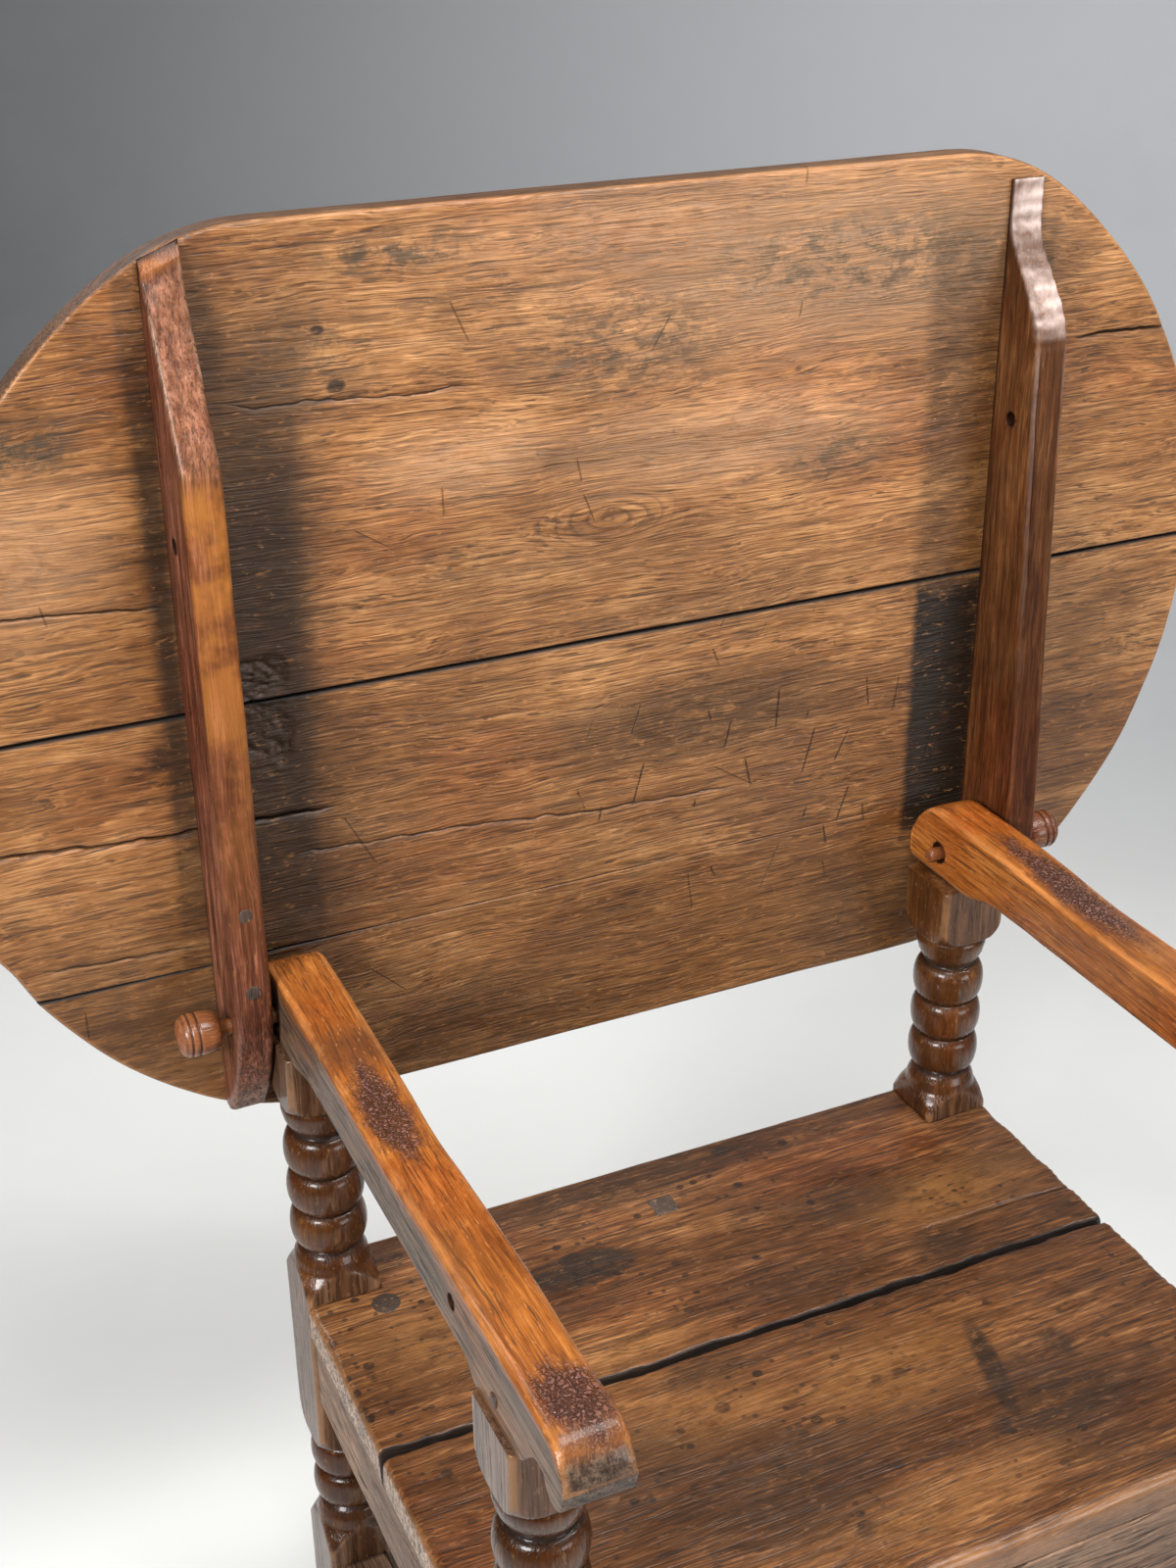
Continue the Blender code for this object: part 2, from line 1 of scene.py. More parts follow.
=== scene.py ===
import json
import math

import bmesh
import bpy
import numpy as np
from mathutils import Matrix, Vector


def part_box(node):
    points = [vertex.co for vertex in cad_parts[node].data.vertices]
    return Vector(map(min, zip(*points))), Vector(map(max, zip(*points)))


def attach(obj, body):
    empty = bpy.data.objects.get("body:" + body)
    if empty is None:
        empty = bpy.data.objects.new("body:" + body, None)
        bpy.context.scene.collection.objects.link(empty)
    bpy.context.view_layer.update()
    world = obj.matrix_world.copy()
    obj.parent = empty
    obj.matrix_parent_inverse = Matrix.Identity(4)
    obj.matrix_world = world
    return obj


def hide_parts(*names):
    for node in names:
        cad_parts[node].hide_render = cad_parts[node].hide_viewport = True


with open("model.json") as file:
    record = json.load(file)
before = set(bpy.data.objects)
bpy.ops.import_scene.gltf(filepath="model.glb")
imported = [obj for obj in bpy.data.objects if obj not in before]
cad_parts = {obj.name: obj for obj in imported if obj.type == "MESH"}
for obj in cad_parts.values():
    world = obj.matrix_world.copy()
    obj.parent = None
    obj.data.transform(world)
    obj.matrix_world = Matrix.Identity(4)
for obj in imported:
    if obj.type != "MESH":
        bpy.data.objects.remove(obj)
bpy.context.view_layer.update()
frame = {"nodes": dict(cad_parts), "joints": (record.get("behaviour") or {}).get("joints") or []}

print("frame loaded:", len(frame["nodes"]), "CAD pieces")

# Places taken from the CAD pieces, in metres
armLow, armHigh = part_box("arm_left")
upperLow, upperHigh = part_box("top_board_upper")
hinge = next(joint for joint in frame["joints"] if joint["name"] == "top_tilt")
pivotY, pivotZ = hinge["pos_m"][1:]
topFaceY = upperLow[1]
topThick = upperHigh[1] - topFaceY
topMiddleZ = (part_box("top_board_lower")[0][2] + upperHigh[2]) / 2
armTop = armHigh[2]
armFront = armLow[1]
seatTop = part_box("seat_board_front")[1][2]

bothSides = (("left", -1), ("right", 1))
quarterTurn = math.pi / 2
noTurn = (0.0, 0.0, 0.0)


# Smooth random waviness for dents, plane marks and worn edges

shuffled = np.random.RandomState(11).permutation(256)
latticeValues = np.random.RandomState(12).rand(256) * 2 - 1


def latticeCorner(ix, iy, iz):
    return latticeValues[shuffled[(shuffled[(shuffled[ix & 255] + iy) & 255] + iz) & 255]]


def waver(x, y, z):
    x, y, z = np.broadcast_arrays(np.asarray(x, float), np.asarray(y, float), np.asarray(z, float))
    ix, iy, iz = (np.floor(v).astype(int) for v in (x, y, z))
    fx, fy, fz = x - ix, y - iy, z - iz
    fx, fy, fz = (f * f * (3 - 2 * f) for f in (fx, fy, fz))
    total = np.zeros(x.shape)
    for dx in (0, 1):
        for dy in (0, 1):
            for dz in (0, 1):
                weight = (fx if dx else 1 - fx) * (fy if dy else 1 - fy) * (fz if dz else 1 - fz)
                total += weight * latticeCorner(ix + dx, iy + dy, iz + dz)
    return total


def waverDeep(x, y, z, octaves=3):
    total = 0.0
    for octave in range(octaves):
        grow = 2.0 ** octave
        total = total + waver(x * grow + 7.3 * octave, y * grow, z * grow) / grow
    return total


def dented(x, y, z, rows, start=0.0):        # rows: depth, then waves per metre along X, Y and Z
    total = start
    for depth, (alongX, alongY, alongZ) in rows:
        total = total + depth * waver(x * alongX, y * alongY, z * alongZ)
    return total


def smoothStep(value, low, high):
    t = np.clip((value - low) / (high - low), 0.0, 1.0)
    return t * t * (3 - 2 * t)


def between(value, low, lowEnd, highStart, high):        # rises over the first pair, falls over the second
    return smoothStep(value, low, lowEnd) * (1 - smoothStep(value, highStart, high))


def hump(value, middle, width):
    return np.exp(-((value - middle) / width) ** 2)


def softEdge(distance, radius):      # how far a rounded edge falls away, this near to the rim
    inside = np.clip(radius - distance, 0.0, radius)
    return radius - np.sqrt(np.maximum(radius * radius - inside * inside, 0.0))


def edgeSteps(radius, count=5):      # distances from a rim that follow its rounding
    return [radius * (1 - math.cos(quarterTurn * i / count)) for i in range(count + 1)]


def spaced(values, least):       # sorted values with none closer than the least gap
    kept = []
    for value in sorted(values):
        if not kept or value - kept[-1] > least:
            kept.append(value)
    return kept


crackRows = (-2.2, -1.1, -0.5, 0, 0.5, 1.1, 2.2)         # mesh lines beside a crack, in its widths


# Mesh makers

def newObject(name, data):
    obj = bpy.data.objects.new(name, data)
    bpy.context.scene.collection.objects.link(obj)
    return obj


def paint(mesh, layers):         # one number to a point: wear and painted glints, soil and painted shade, dryness and painted sheen, or a lathe's radius
    for name, numbers in layers.items():
        layer = mesh.attributes.get(name) or mesh.attributes.new(name, "FLOAT", "POINT")
        layer.data.foreach_set("value", np.asarray(numbers, np.float32).ravel())


def pointsOf(mesh):
    points = np.empty(len(mesh.vertices) * 3)
    mesh.vertices.foreach_get("co", points)
    return points.reshape(-1, 3)


def applied(obj, name):      # the shape its modifier makes, as a mesh of its own; the stock is thrown away
    stock = obj.data
    mesh = bpy.data.meshes.new_from_object(obj.evaluated_get(bpy.context.evaluated_depsgraph_get()))
    obj.modifiers.clear()
    bpy.data.objects.remove(obj)
    bpy.data.meshes.remove(stock)
    mesh.name = name
    return mesh


def meshFrom(name, points, faces, tints):
    mesh = bpy.data.meshes.new(name)
    mesh.from_pydata(np.asarray(points).tolist(), [], faces)
    paint(mesh, tints)
    tidy = bmesh.new()
    tidy.from_mesh(mesh)
    bmesh.ops.recalc_face_normals(tidy, faces=tidy.faces)
    tidy.to_mesh(mesh)
    tidy.free()
    mesh.shade_smooth()
    return mesh


def bandQuads(count, around):        # faces between rings that follow each other
    i = np.arange(count - 1)[:, None] * around
    j = np.arange(around)[None, :]
    k = (j + 1) % around
    return np.stack([i + j, i + k, i + around + k, i + around + j], -1).reshape(-1, 4).tolist()


def loftMesh(name, rings, tints):        # a skin over rings, closed by a fan at each end
    count, around, _ = rings.shape
    first = count * around
    fans = [[first, (n + 1) % around, n] for n in range(around)]
    base = (count - 1) * around
    fans += [[first + 1, base + n, base + (n + 1) % around] for n in range(around)]
    points = np.vstack([rings.reshape(-1, 3), rings[0].mean(0), rings[-1].mean(0)])
    full = {}
    for tint, values in tints.items():
        values = np.broadcast_to(values, (count, around))
        full[tint] = np.concatenate([values.ravel(), [values[0].mean(), values[-1].mean()]])
    return meshFrom(name, points, bandQuads(count, around) + fans, full)


def plateMesh(name, front, back, tints, used=None, levels=5):        # two faces and the walls between them
    nu, nv, _ = front.shape
    if used is None:
        used = np.ones((nu - 1, nv - 1), bool)
    ci, cj = np.nonzero(used)
    a = ci * nv + cj
    cells = np.stack([a, a + nv, a + nv + 1, a + 1], -1)
    edges = np.concatenate([cells[:, [n, (n + 1) % 4]] for n in range(4)])
    _, where, counts = np.unique(np.sort(edges, 1), axis=0, return_index=True, return_counts=True)
    rim = edges[where[counts == 1]]
    rimNodes = np.unique(rim)
    flatFront, flatBack = front.reshape(-1, 3), back.reshape(-1, 3)
    kept = np.unique(cells)
    newIndex = np.full(nu * nv, -1)
    newIndex[kept] = np.arange(len(kept))
    rimIndex = np.full(nu * nv, -1)
    rimIndex[rimNodes] = np.arange(len(rimNodes))
    points = [flatFront[kept], flatBack[kept]]
    for level in range(1, levels):
        share = level / levels
        points.append(flatFront[rimNodes] * (1 - share) + flatBack[rimNodes] * share)
    faces = newIndex[cells][:, ::-1].tolist() + (newIndex[cells] + len(kept)).tolist()

    def onWall(nodes, level):
        if level == 0:
            return newIndex[nodes]
        if level == levels:
            return newIndex[nodes] + len(kept)
        return 2 * len(kept) + (level - 1) * len(rimNodes) + rimIndex[nodes]

    for level in range(levels):
        corners = ((0, level), (1, level), (1, level + 1), (0, level + 1))
        faces += np.stack([onWall(rim[:, end], height) for end, height in corners], -1).tolist()
    full = {}
    for tint, values in tints.items():
        values = np.broadcast_to(values, (nu, nv)).ravel()
        full[tint] = np.concatenate([values[kept], values[kept]] + [values[rimNodes]] * (levels - 1))
    return meshFrom(name, np.vstack(points), faces, full)


def roundedSection(u0, u1, v0, v1, radii, side, bend):       # rings of a box with rounded corners
    shape = np.broadcast(u0, u1, v0, v1).shape
    u0, u1, v0, v1 = (np.broadcast_to(np.asarray(value, float), shape) for value in (u0, u1, v0, v1))
    corners = []
    inward = ((u0, v0, 1, 1), (u1, v0, -1, 1), (u1, v1, -1, -1), (u0, v1, 1, -1))
    for n, (u, v, su, sv) in enumerate(inward):
        radius = np.broadcast_to(np.asarray(radii[n], float), shape)
        angles = math.pi * (1 + 0.5 * n) + np.linspace(0, quarterTurn, bend)
        cu = u + su * radius
        cv = v + sv * radius
        bendU = cu[:, None] + radius[:, None] * np.cos(angles)
        bendV = cv[:, None] + radius[:, None] * np.sin(angles)
        corners.append(np.stack([bendU, bendV], -1))
    parts = []
    for n in range(4):
        parts.append(corners[n])
        start = corners[n][:, -1:, :]
        end = corners[(n + 1) % 4][:, :1, :]
        share = (np.arange(1, side + 1) / (side + 1))[None, :, None]
        parts.append(start * (1 - share) + end * share)
    return np.concatenate(parts, 1)


def pushOut(rings, amount):      # moves each ring point along the skin's outward direction
    along = np.gradient(rings, axis=0)
    around = np.roll(rings, -1, 1) - np.roll(rings, 1, 1)
    normal = np.cross(around, along)
    length = np.linalg.norm(normal, axis=2, keepdims=True)
    normal = normal / np.maximum(length, 1e-12)
    outward = np.sum(normal * (rings - rings.mean(1, keepdims=True)))
    if outward < 0:
        normal = -normal
    return rings + normal * np.broadcast_to(amount, rings.shape[:2])[..., None]


def addPiece(mesh, body, node, finish):
    mesh.materials.clear()
    mesh.materials.append(finishes[finish])
    obj = newObject(mesh.name, mesh)
    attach(obj, body)
    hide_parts(node)


drillSpec = {"sides": 28, "grimeReach": 1.03, "grime": 0.9}


def drilled(mesh, drills):       # cuts round holes along X: (y, z, radius, x from, x to)
    cutter = bmesh.new()
    for y, z, radius, low, high in drills:
        place = Matrix.Translation(((low + high) / 2, y, z)) @ Matrix.Rotation(quarterTurn, 4, "Y")
        bmesh.ops.create_cone(
            cutter, cap_ends=True, segments=drillSpec["sides"], radius1=radius, radius2=radius,
            depth=high - low, matrix=place,
        )
    bitMesh = bpy.data.meshes.new("drillBit")
    cutter.to_mesh(bitMesh)
    cutter.free()
    bit = newObject("drillBit", bitMesh)
    plain = newObject("drillStock", mesh)
    drill = plain.modifiers.new("drill", "BOOLEAN")
    drill.operation = "DIFFERENCE"
    drill.solver = "EXACT"
    drill.object = bit
    result = applied(plain, mesh.name)
    bpy.data.objects.remove(bit)
    bpy.data.meshes.remove(bitMesh)
    points = pointsOf(result)
    soil = np.empty(len(points), np.float32)
    result.attributes["soil"].data.foreach_get("value", soil)
    # painted shade: the inside of each hole is coloured dark
    for y, z, radius, _, _ in drills:
        inHole = np.hypot(points[:, 1] - y, points[:, 2] - z) < drillSpec["grimeReach"] * radius
        soil[inHole] = drillSpec["grime"]
    paint(result, {"soil": soil})
    return result


# Node helpers for the finishes

def feed(tree, socket, value):
    if isinstance(value, bpy.types.NodeSocket):
        tree.links.new(value, socket)
    else:
        socket.default_value = value


def put(tree, kind, values=None, **settings):
    node = tree.nodes.new(kind)
    for key, value in settings.items():
        setattr(node, key, value)
    for key, value in (values or {}).items():
        feed(tree, node.inputs[key], value)
    return node


def calc(tree, operation, a, b=0.0, c=0.0, clamp=False):
    return put(tree, "ShaderNodeMath", {0: a, 1: b, 2: c}, operation=operation, use_clamp=clamp).outputs[0]


def times(tree, a, b):
    return calc(tree, "MULTIPLY", a, b)


def minus(tree, a, b):
    return calc(tree, "SUBTRACT", a, b)


def addScaled(tree, value, weight, base, clamp=False):       # base + weight * value
    return calc(tree, "MULTIPLY_ADD", value, weight, base, clamp)


def parted(tree, vector):
    return put(tree, "ShaderNodeSeparateXYZ", {0: vector}).outputs


def joined(tree, x, y, z):
    return put(tree, "ShaderNodeCombineXYZ", {0: x, 1: y, 2: z}).outputs[0]


def vectorCalc(tree, operation, a, b):
    return put(tree, "ShaderNodeVectorMath", {0: a, 1: b}, operation=operation).outputs[0]


def tinted(colour):      # a shader colour from three numbers
    return (*colour, 1.0)


def mixTint(tree, factor, a, b, blend="MIX"):
    node = put(tree, "ShaderNodeMix", None, data_type="RGBA", blend_type=blend, clamp_factor=True)
    for index, value in ((0, factor), (6, a), (7, b)):
        feed(tree, node.inputs[index], value)
    return node.outputs[2]


def coated(tree, colour, mask, share, tint, blend="MIX"):        # a flat tint over the colour so far
    return mixTint(tree, times(tree, mask, share), colour, tinted(tint), blend)


def fade(tree, value, low, high, toLow=0.0, toHigh=1.0):     # a smooth step between two values
    values = {"Value": value, "From Min": low, "From Max": high, "To Min": toLow, "To Max": toHigh}
    return put(tree, "ShaderNodeMapRange", values, interpolation_type="SMOOTHSTEP").outputs[0]


toneStops = (0.10, 0.38, 0.58, 0.90)         # where the four colours of a wood lie, dark to light


def ramp(tree, value, colours):
    node = put(tree, "ShaderNodeValToRGB", {"Fac": value})
    elements = node.color_ramp.elements
    while len(elements) < len(colours):
        elements.new(0.5)
    for element, position, colour in zip(elements, toneStops, colours):
        element.position = position
        element.color = tinted(colour)
    return node.outputs[0]


def grainNoise(tree, vector, scale, detail=3.0, rough=0.55, distortion=0.0):
    spread = put(tree, "ShaderNodeMapping", {"Vector": vector, "Scale": scale}).outputs[0]
    values = {"Vector": spread, "Scale": 1.0, "Detail": detail, "Roughness": rough, "Distortion": distortion}
    return put(tree, "ShaderNodeTexNoise", values).outputs["Fac"]


def within(tree, vector, centre, sizes, turn=noTurn):        # a spot's own coordinates, 1 at its rim
    values = {"Vector": vector, "Location": centre, "Rotation": turn, "Scale": sizes}
    return put(tree, "ShaderNodeMapping", values, vector_type="TEXTURE").outputs[0]


def centred(tree, vector, centre, radii, turn=noTurn):       # distance from a round spot, 1 at its rim
    local = within(tree, vector, centre, radii, turn)
    return put(tree, "ShaderNodeVectorMath", {0: local}, operation="LENGTH").outputs["Value"]


def boxed(tree, vector, centre, halves):         # the same for a straight-sided patch
    parts = parted(tree, within(tree, vector, centre, halves))
    return strongest(tree, [calc(tree, "ABSOLUTE", part) for part in parts])


def tintLayer(tree, name):
    return put(tree, "ShaderNodeAttribute", None, attribute_name=name).outputs["Fac"]


def strongest(tree, masks):
    total = masks[0]
    for mask in masks[1:]:
        total = calc(tree, "MAXIMUM", total, mask)
    return total


def patchMask(tree, place, ragged, stains):
    masks = []
    for patchEntry in stains:
        if patchEntry.get("square"):
            reach = boxed(tree, place, patchEntry["at"], patchEntry["size"])
        else:
            reach = centred(tree, place, patchEntry["at"], patchEntry["size"], patchEntry.get("turn", noTurn))
        reach = addScaled(tree, ragged, patchEntry.get("ragged", 1.0), reach)
        soft = patchEntry["soft"]
        masks.append(times(tree, fade(tree, reach, 1 + soft, 1 - soft), patchEntry["strength"]))
    return strongest(tree, masks)


def strokeMask(tree, place, spec):       # short straight marks, one to a cell, each at its own slant
    spread = vectorCalc(tree, "MULTIPLY", place, spec["cells"])
    cell = put(tree, "ShaderNodeTexVoronoi", {"Vector": spread, "Scale": 1.0, "Randomness": 1.0})
    offset = vectorCalc(tree, "SUBTRACT", spread, cell.outputs["Position"])
    sizes = tuple(1.0 / n if n else 0.0 for n in spec["cells"])
    local = vectorCalc(tree, "MULTIPLY", offset, sizes)
    luck = put(tree, "ShaderNodeSeparateColor", {0: cell.outputs["Color"]}).outputs
    slant = times(tree, minus(tree, luck[0], 0.5), spec["slant"])
    turned = put(tree, "ShaderNodeVectorRotate", {"Vector": local, "Angle": slant}, rotation_type="Y_AXIS")
    parts = parted(tree, turned.outputs[0])
    thin = fade(tree, calc(tree, "ABSOLUTE", parts[0]), spec["width"], 0.3 * spec["width"])
    length = times(tree, luck[1], spec["length"])
    ended = fade(tree, minus(tree, calc(tree, "ABSOLUTE", parts[2]), length), 0.0, -0.006)
    chosen = calc(tree, "GREATER_THAN", luck[2], spec["chance"])
    return times(tree, times(tree, thin, ended), chosen)


def spotMask(tree, place, ragged, spec):         # scattered drops, in crowds
    spread = vectorCalc(tree, "MULTIPLY", place, spec["scale"])
    cell = put(tree, "ShaderNodeTexVoronoi", {"Vector": spread, "Scale": 1.0})
    reach = addScaled(tree, ragged, 0.20, cell.outputs["Distance"])
    luck = put(tree, "ShaderNodeSeparateColor", {0: cell.outputs["Color"]}).outputs[0]
    size = fade(tree, luck, spec["chance"], 1.0, -0.2, spec["size"])
    drops = fade(tree, minus(tree, reach, size), 0.03, -0.04)
    crowd = fade(tree, grainNoise(tree, place, noiseScales["crowd"], 3.0), 0.42, 0.58, 0.25, 1.0)
    return times(tree, times(tree, drops, crowd), spec["strength"])


def blisters(tree, place, scale):        # lumps of a wrinkled finish with cracks between them
    nudge = put(tree, "ShaderNodeTexNoise", {"Vector": place, "Scale": 160.0, "Detail": 2.0}).outputs["Color"]
    values = {0: nudge, 1: (0.010, 0.010, 0.010), 2: place}
    warped = put(tree, "ShaderNodeVectorMath", values, operation="MULTIPLY_ADD").outputs[0]
    values = {"Vector": vectorCalc(tree, "MULTIPLY", warped, scale), "Scale": 1.0}
    cells = put(tree, "ShaderNodeTexVoronoi", values, feature="DISTANCE_TO_EDGE").outputs["Distance"]
    return fade(tree, cells, 0.0, 0.35)


# Old oak: which axes run along, across and into the wood, and how dense each pattern is per metre
grainOrders = {"x": (0, 1, 2), "y": (1, 0, 2), "z": (2, 0, 1)}
noiseScales = {
    "wander": (2.2, 9.0, 9.0), "ripple": (11.0, 48.0, 48.0), "cloud": (19.0, 19.0, 19.0),
    "knot": (28.0, 28.0, 45.0), "streak": (7.0, 165.0, 165.0), "fibre": (34.0, 560.0, 560.0),
    "line": (7.0, 300.0, 300.0), "pore": (30.0, 640.0, 640.0), "blush": (5.0, 9.0, 9.0),
    "blotch": (60.0, 120.0, 120.0), "scuff": (110.0, 330.0, 330.0), "crowd": (9.0, 9.0, 9.0),
}


def oakFinish(spec):
    material = bpy.data.materials.new(spec["name"])
    material.use_nodes = True
    tree = material.node_tree
    shader = tree.nodes["Principled BSDF"]
    place = put(tree, "ShaderNodeTexCoord").outputs["Object"]
    split = parted(tree, place)
    order = grainOrders[spec["grain"]]
    along, across, depth = (split[n] for n in order)

    # The grain bulges round each knot, and rings close round its middle
    knotted = 0.0
    for knot in spec.get("knots", []):
        reach = centred(tree, place, knot["at"], knot["size"])
        middle = knot["at"][order[2]]
        squeeze = addScaled(tree, fade(tree, reach, 3.0, 0.0), -knot["bulge"], 1.0)
        depth = addScaled(tree, minus(tree, depth, middle), squeeze, middle)
        wobble = grainNoise(tree, place, noiseScales["knot"], 2.0)
        count = addScaled(tree, wobble, 1.6, times(tree, reach, knot["rings"]))
        ring = fade(tree, calc(tree, "FRACT", count), 0.42, 0.05)
        knotted = calc(tree, "MAXIMUM", times(tree, ring, fade(tree, reach, 3.4, 0.5)), knotted)

    # Slow wander bends every streak; growth rings run round a pith line outside the board
    shifted = calc(tree, "ADD", along, spec["seed"])
    lined = joined(tree, shifted, across, depth)
    wander = minus(tree, grainNoise(tree, lined, noiseScales["wander"], 2.0), 0.5)
    ripple = minus(tree, grainNoise(tree, lined, noiseScales["ripple"], 2.0), 0.5)
    bend = addScaled(tree, ripple, spec["ripple"], times(tree, wander, spec["wander"]))
    bentAcross = calc(tree, "ADD", across, bend)
    bentDepth = calc(tree, "ADD", depth, bend)
    grain = joined(tree, shifted, bentAcross, bentDepth)
    fromAcross = minus(tree, bentAcross, spec["pith"][0])
    fromDepth = minus(tree, bentDepth, spec["pith"][1])
    squared = addScaled(tree, fromAcross, fromAcross, times(tree, fromDepth, fromDepth))
    ringCount = calc(tree, "DIVIDE", calc(tree, "SQRT", squared), spec["ringGap"])
    ringShare = calc(tree, "FRACT", ringCount)

    # Streaks, fine lines, short pores and broad colour changes, all along the grain
    broad = fade(tree, grainNoise(tree, grain, spec["broadScale"], 4.0, 0.6, 0.3), 0.30, 0.70)
    cloud = grainNoise(tree, place, noiseScales["cloud"], 4.0, 0.7)
    streak = grainNoise(tree, grain, noiseScales["streak"], 4.0, 0.75)
    fibre = grainNoise(tree, grain, noiseScales["fibre"], 2.0, 0.7)
    lineField = grainNoise(tree, grain, noiseScales["line"], 3.0, 0.7)
    lines = times(tree, fade(tree, lineField, 0.52, 0.60), fade(tree, cloud, 0.36, 0.58, 0.30, 1.0))
    ringLine = times(tree, fade(tree, ringShare, 0.30, 0.0), fade(tree, streak, 0.38, 0.55, 0.15, 1.0))
    poreField = grainNoise(tree, grain, noiseScales["pore"], 1.0, 0.5)
    pores = fade(tree, poreField, spec["poreFrom"], spec["poreFrom"] + 0.05)

    tone = 0.5
    for value, weight in ((broad, "broad"), (cloud, "cloud"), (streak, "streak"), (fibre, "fibre")):
        tone = addScaled(tree, minus(tree, value, 0.5), spec[weight], tone)
    colour = ramp(tree, tone, spec["colours"])
    blush = fade(tree, grainNoise(tree, place, noiseScales["blush"], 4.0, 0.6), 0.48, 0.68)
    colour = coated(tree, colour, blush, spec["blush"], spec["blushColour"], "MULTIPLY")
    for mask, share in ((lines, spec["lines"]), (ringLine, spec["rings"]), (knotted, 0.62)):
        colour = coated(tree, colour, mask, share, spec["lineColour"])
    colour = coated(tree, colour, pores, spec["pores"], spec["poreColour"])

    # Stains and patches of painted shade with ragged rims and a blotchy body, then spots and knife marks
    blotch = grainNoise(tree, grain, noiseScales["blotch"], 4.0, 0.78)
    ragged = times(tree, minus(tree, blotch, 0.5), 1.5)
    rough = spec["rough"]
    for value in (cloud, fibre):
        rough = addScaled(tree, minus(tree, value, 0.5), spec["roughVary"], rough)
    for layer in spec.get("stainLayers", []):
        mask = patchMask(tree, place, ragged, layer["stains"])
        mask = times(tree, mask, fade(tree, blotch, *layer["blotch"], 1.0))
        colour = mixTint(tree, mask, colour, tinted(layer["colour"]))
        rough = addScaled(tree, mask, layer["rough"], rough)
    for spots in spec.get("spotLayers", []):
        colour = mixTint(tree, spotMask(tree, place, ragged, spots), colour, tinted(spots["colour"]))
    height = addScaled(tree, streak, 0.7, times(tree, fibre, 0.45))
    for marks in spec.get("markLayers", []):
        mask = strokeMask(tree, place, marks)
        if "where" in marks:
            mask = times(tree, mask, patchMask(tree, place, ragged, marks["where"]))
        colour = coated(tree, colour, mask, marks["strength"], marks["colour"])
        height = addScaled(tree, mask, -1.5, height)
    # pale scuffs: partly real scuffs, partly painted glints
    scuff = fade(tree, grainNoise(tree, grain, noiseScales["scuff"], 2.0, 0.6), 0.63, 0.68)
    colour = coated(tree, colour, scuff, spec["scuff"], spec["wearColour"])

    # Dry sides with painted sheen, polished arrises with painted glints, and dirt and painted shade in the
    # hollows
    dry = tintLayer(tree, "dry")
    wear = tintLayer(tree, "wear")
    soil = tintLayer(tree, "soil")
    grey = mixTint(tree, fade(tree, streak, 0.34, 0.66), tinted(spec["dryDark"]), tinted(spec["dryLight"]))
    grey = coated(tree, grey, lines, 0.75, spec["poreColour"])
    grey = coated(tree, grey, pores, 0.9, spec["poreColour"])
    colour = mixTint(tree, dry, colour, grey)
    # the wear layer also carries painted highlights on edges, below the joint and on the ogee
    worn = times(tree, wear, fade(tree, cloud, 0.36, 0.58, 0.25, 1.0))
    colour = coated(tree, colour, worn, spec["wearShare"], spec["wearColour"])
    colour = mixTint(tree, soil, colour, tinted(spec["soilColour"]))
    for value, weight in ((dry, 0.20), (worn, spec["wearGloss"]), (soil, 0.30), (lines, 0.08), (pores, 0.10)):
        rough = addScaled(tree, value, weight, rough, clamp=True)

    # Relief: fibres, lines, pores and blotches, with wrinkled patches where a finish has them
    for value, weight in ((lineField, -1.2), (poreField, -1.0)):
        height = addScaled(tree, value, weight, height)
    if "crazed" in spec:
        crazed = spec["crazed"]
        mask = patchMask(tree, place, ragged, crazed["where"])
        blister = blisters(tree, place, crazed["scale"])
        lumps = mixTint(tree, blister, tinted(crazed["crack"]), tinted(crazed["colour"]))
        colour = mixTint(tree, times(tree, mask, 0.9), colour, lumps)
        rough = addScaled(tree, mask, crazed["rough"], rough, clamp=True)
        height = addScaled(tree, times(tree, blister, mask), 1.8, height)
    bumpValues = {"Strength": spec["bump"], "Distance": 0.0008, "Height": height}
    feed(tree, shader.inputs["Base Color"], colour)
    feed(tree, shader.inputs["Roughness"], rough)
    feed(tree, shader.inputs["Normal"], put(tree, "ShaderNodeBump", bumpValues).outputs[0])
    for socket, number in (
        ("Metallic", 0.0), ("Specular IOR Level", spec["sheen"]), ("Coat Weight", spec["coat"]),
        ("Coat Roughness", spec["coatRough"]),
    ):
        shader.inputs[socket].default_value = number
    return material


# Finishes of the real bench, each on its own grain

plainOak = {
    "poreColour": (0.020, 0.010, 0.006), "soilColour": (0.006, 0.004, 0.003),
    "lineColour": (0.050, 0.020, 0.008), "wearColour": (0.52, 0.27, 0.12), "wearShare": 0.5,
    "dryDark": (0.060, 0.034, 0.021), "dryLight": (0.235, 0.145, 0.092),
    "blushColour": (0.92, 0.66, 0.55), "blush": 0.6, "broadScale": (3.6, 14.0, 14.0), "poreFrom": 0.61,
    "wander": 0.030, "ripple": 0.007, "scuff": 0.25, "wearGloss": -0.10, "coat": 0.06, "coatRough": 0.20,
    "bump": 0.7, "sheen": 0.26,
}

frontY = topFaceY + 0.0005       # stains and painted shade lie on the front face only
frontReach = 0.012
armFaceZ = 0.69


def patch(at, size, strength, soft, **more):         # more: a square shape, a turn, how ragged the rim is
    return {"at": at, "size": size, "strength": strength, "soft": soft, **more}


def onFront(x, z, wide, tall, strength, soft, **more):
    return patch((x, frontY, z), (wide, frontReach, tall), strength, soft, **more)


def onSeat(x, y, wide, deep, strength, soft, **more):
    return patch((x, y, seatTop), (wide, deep, 0.2), strength, soft, **more)


def onArm(x, y, wide, deep, strength, soft):
    return patch((x, y, armFaceZ), (wide, deep, 0.06), strength, soft)


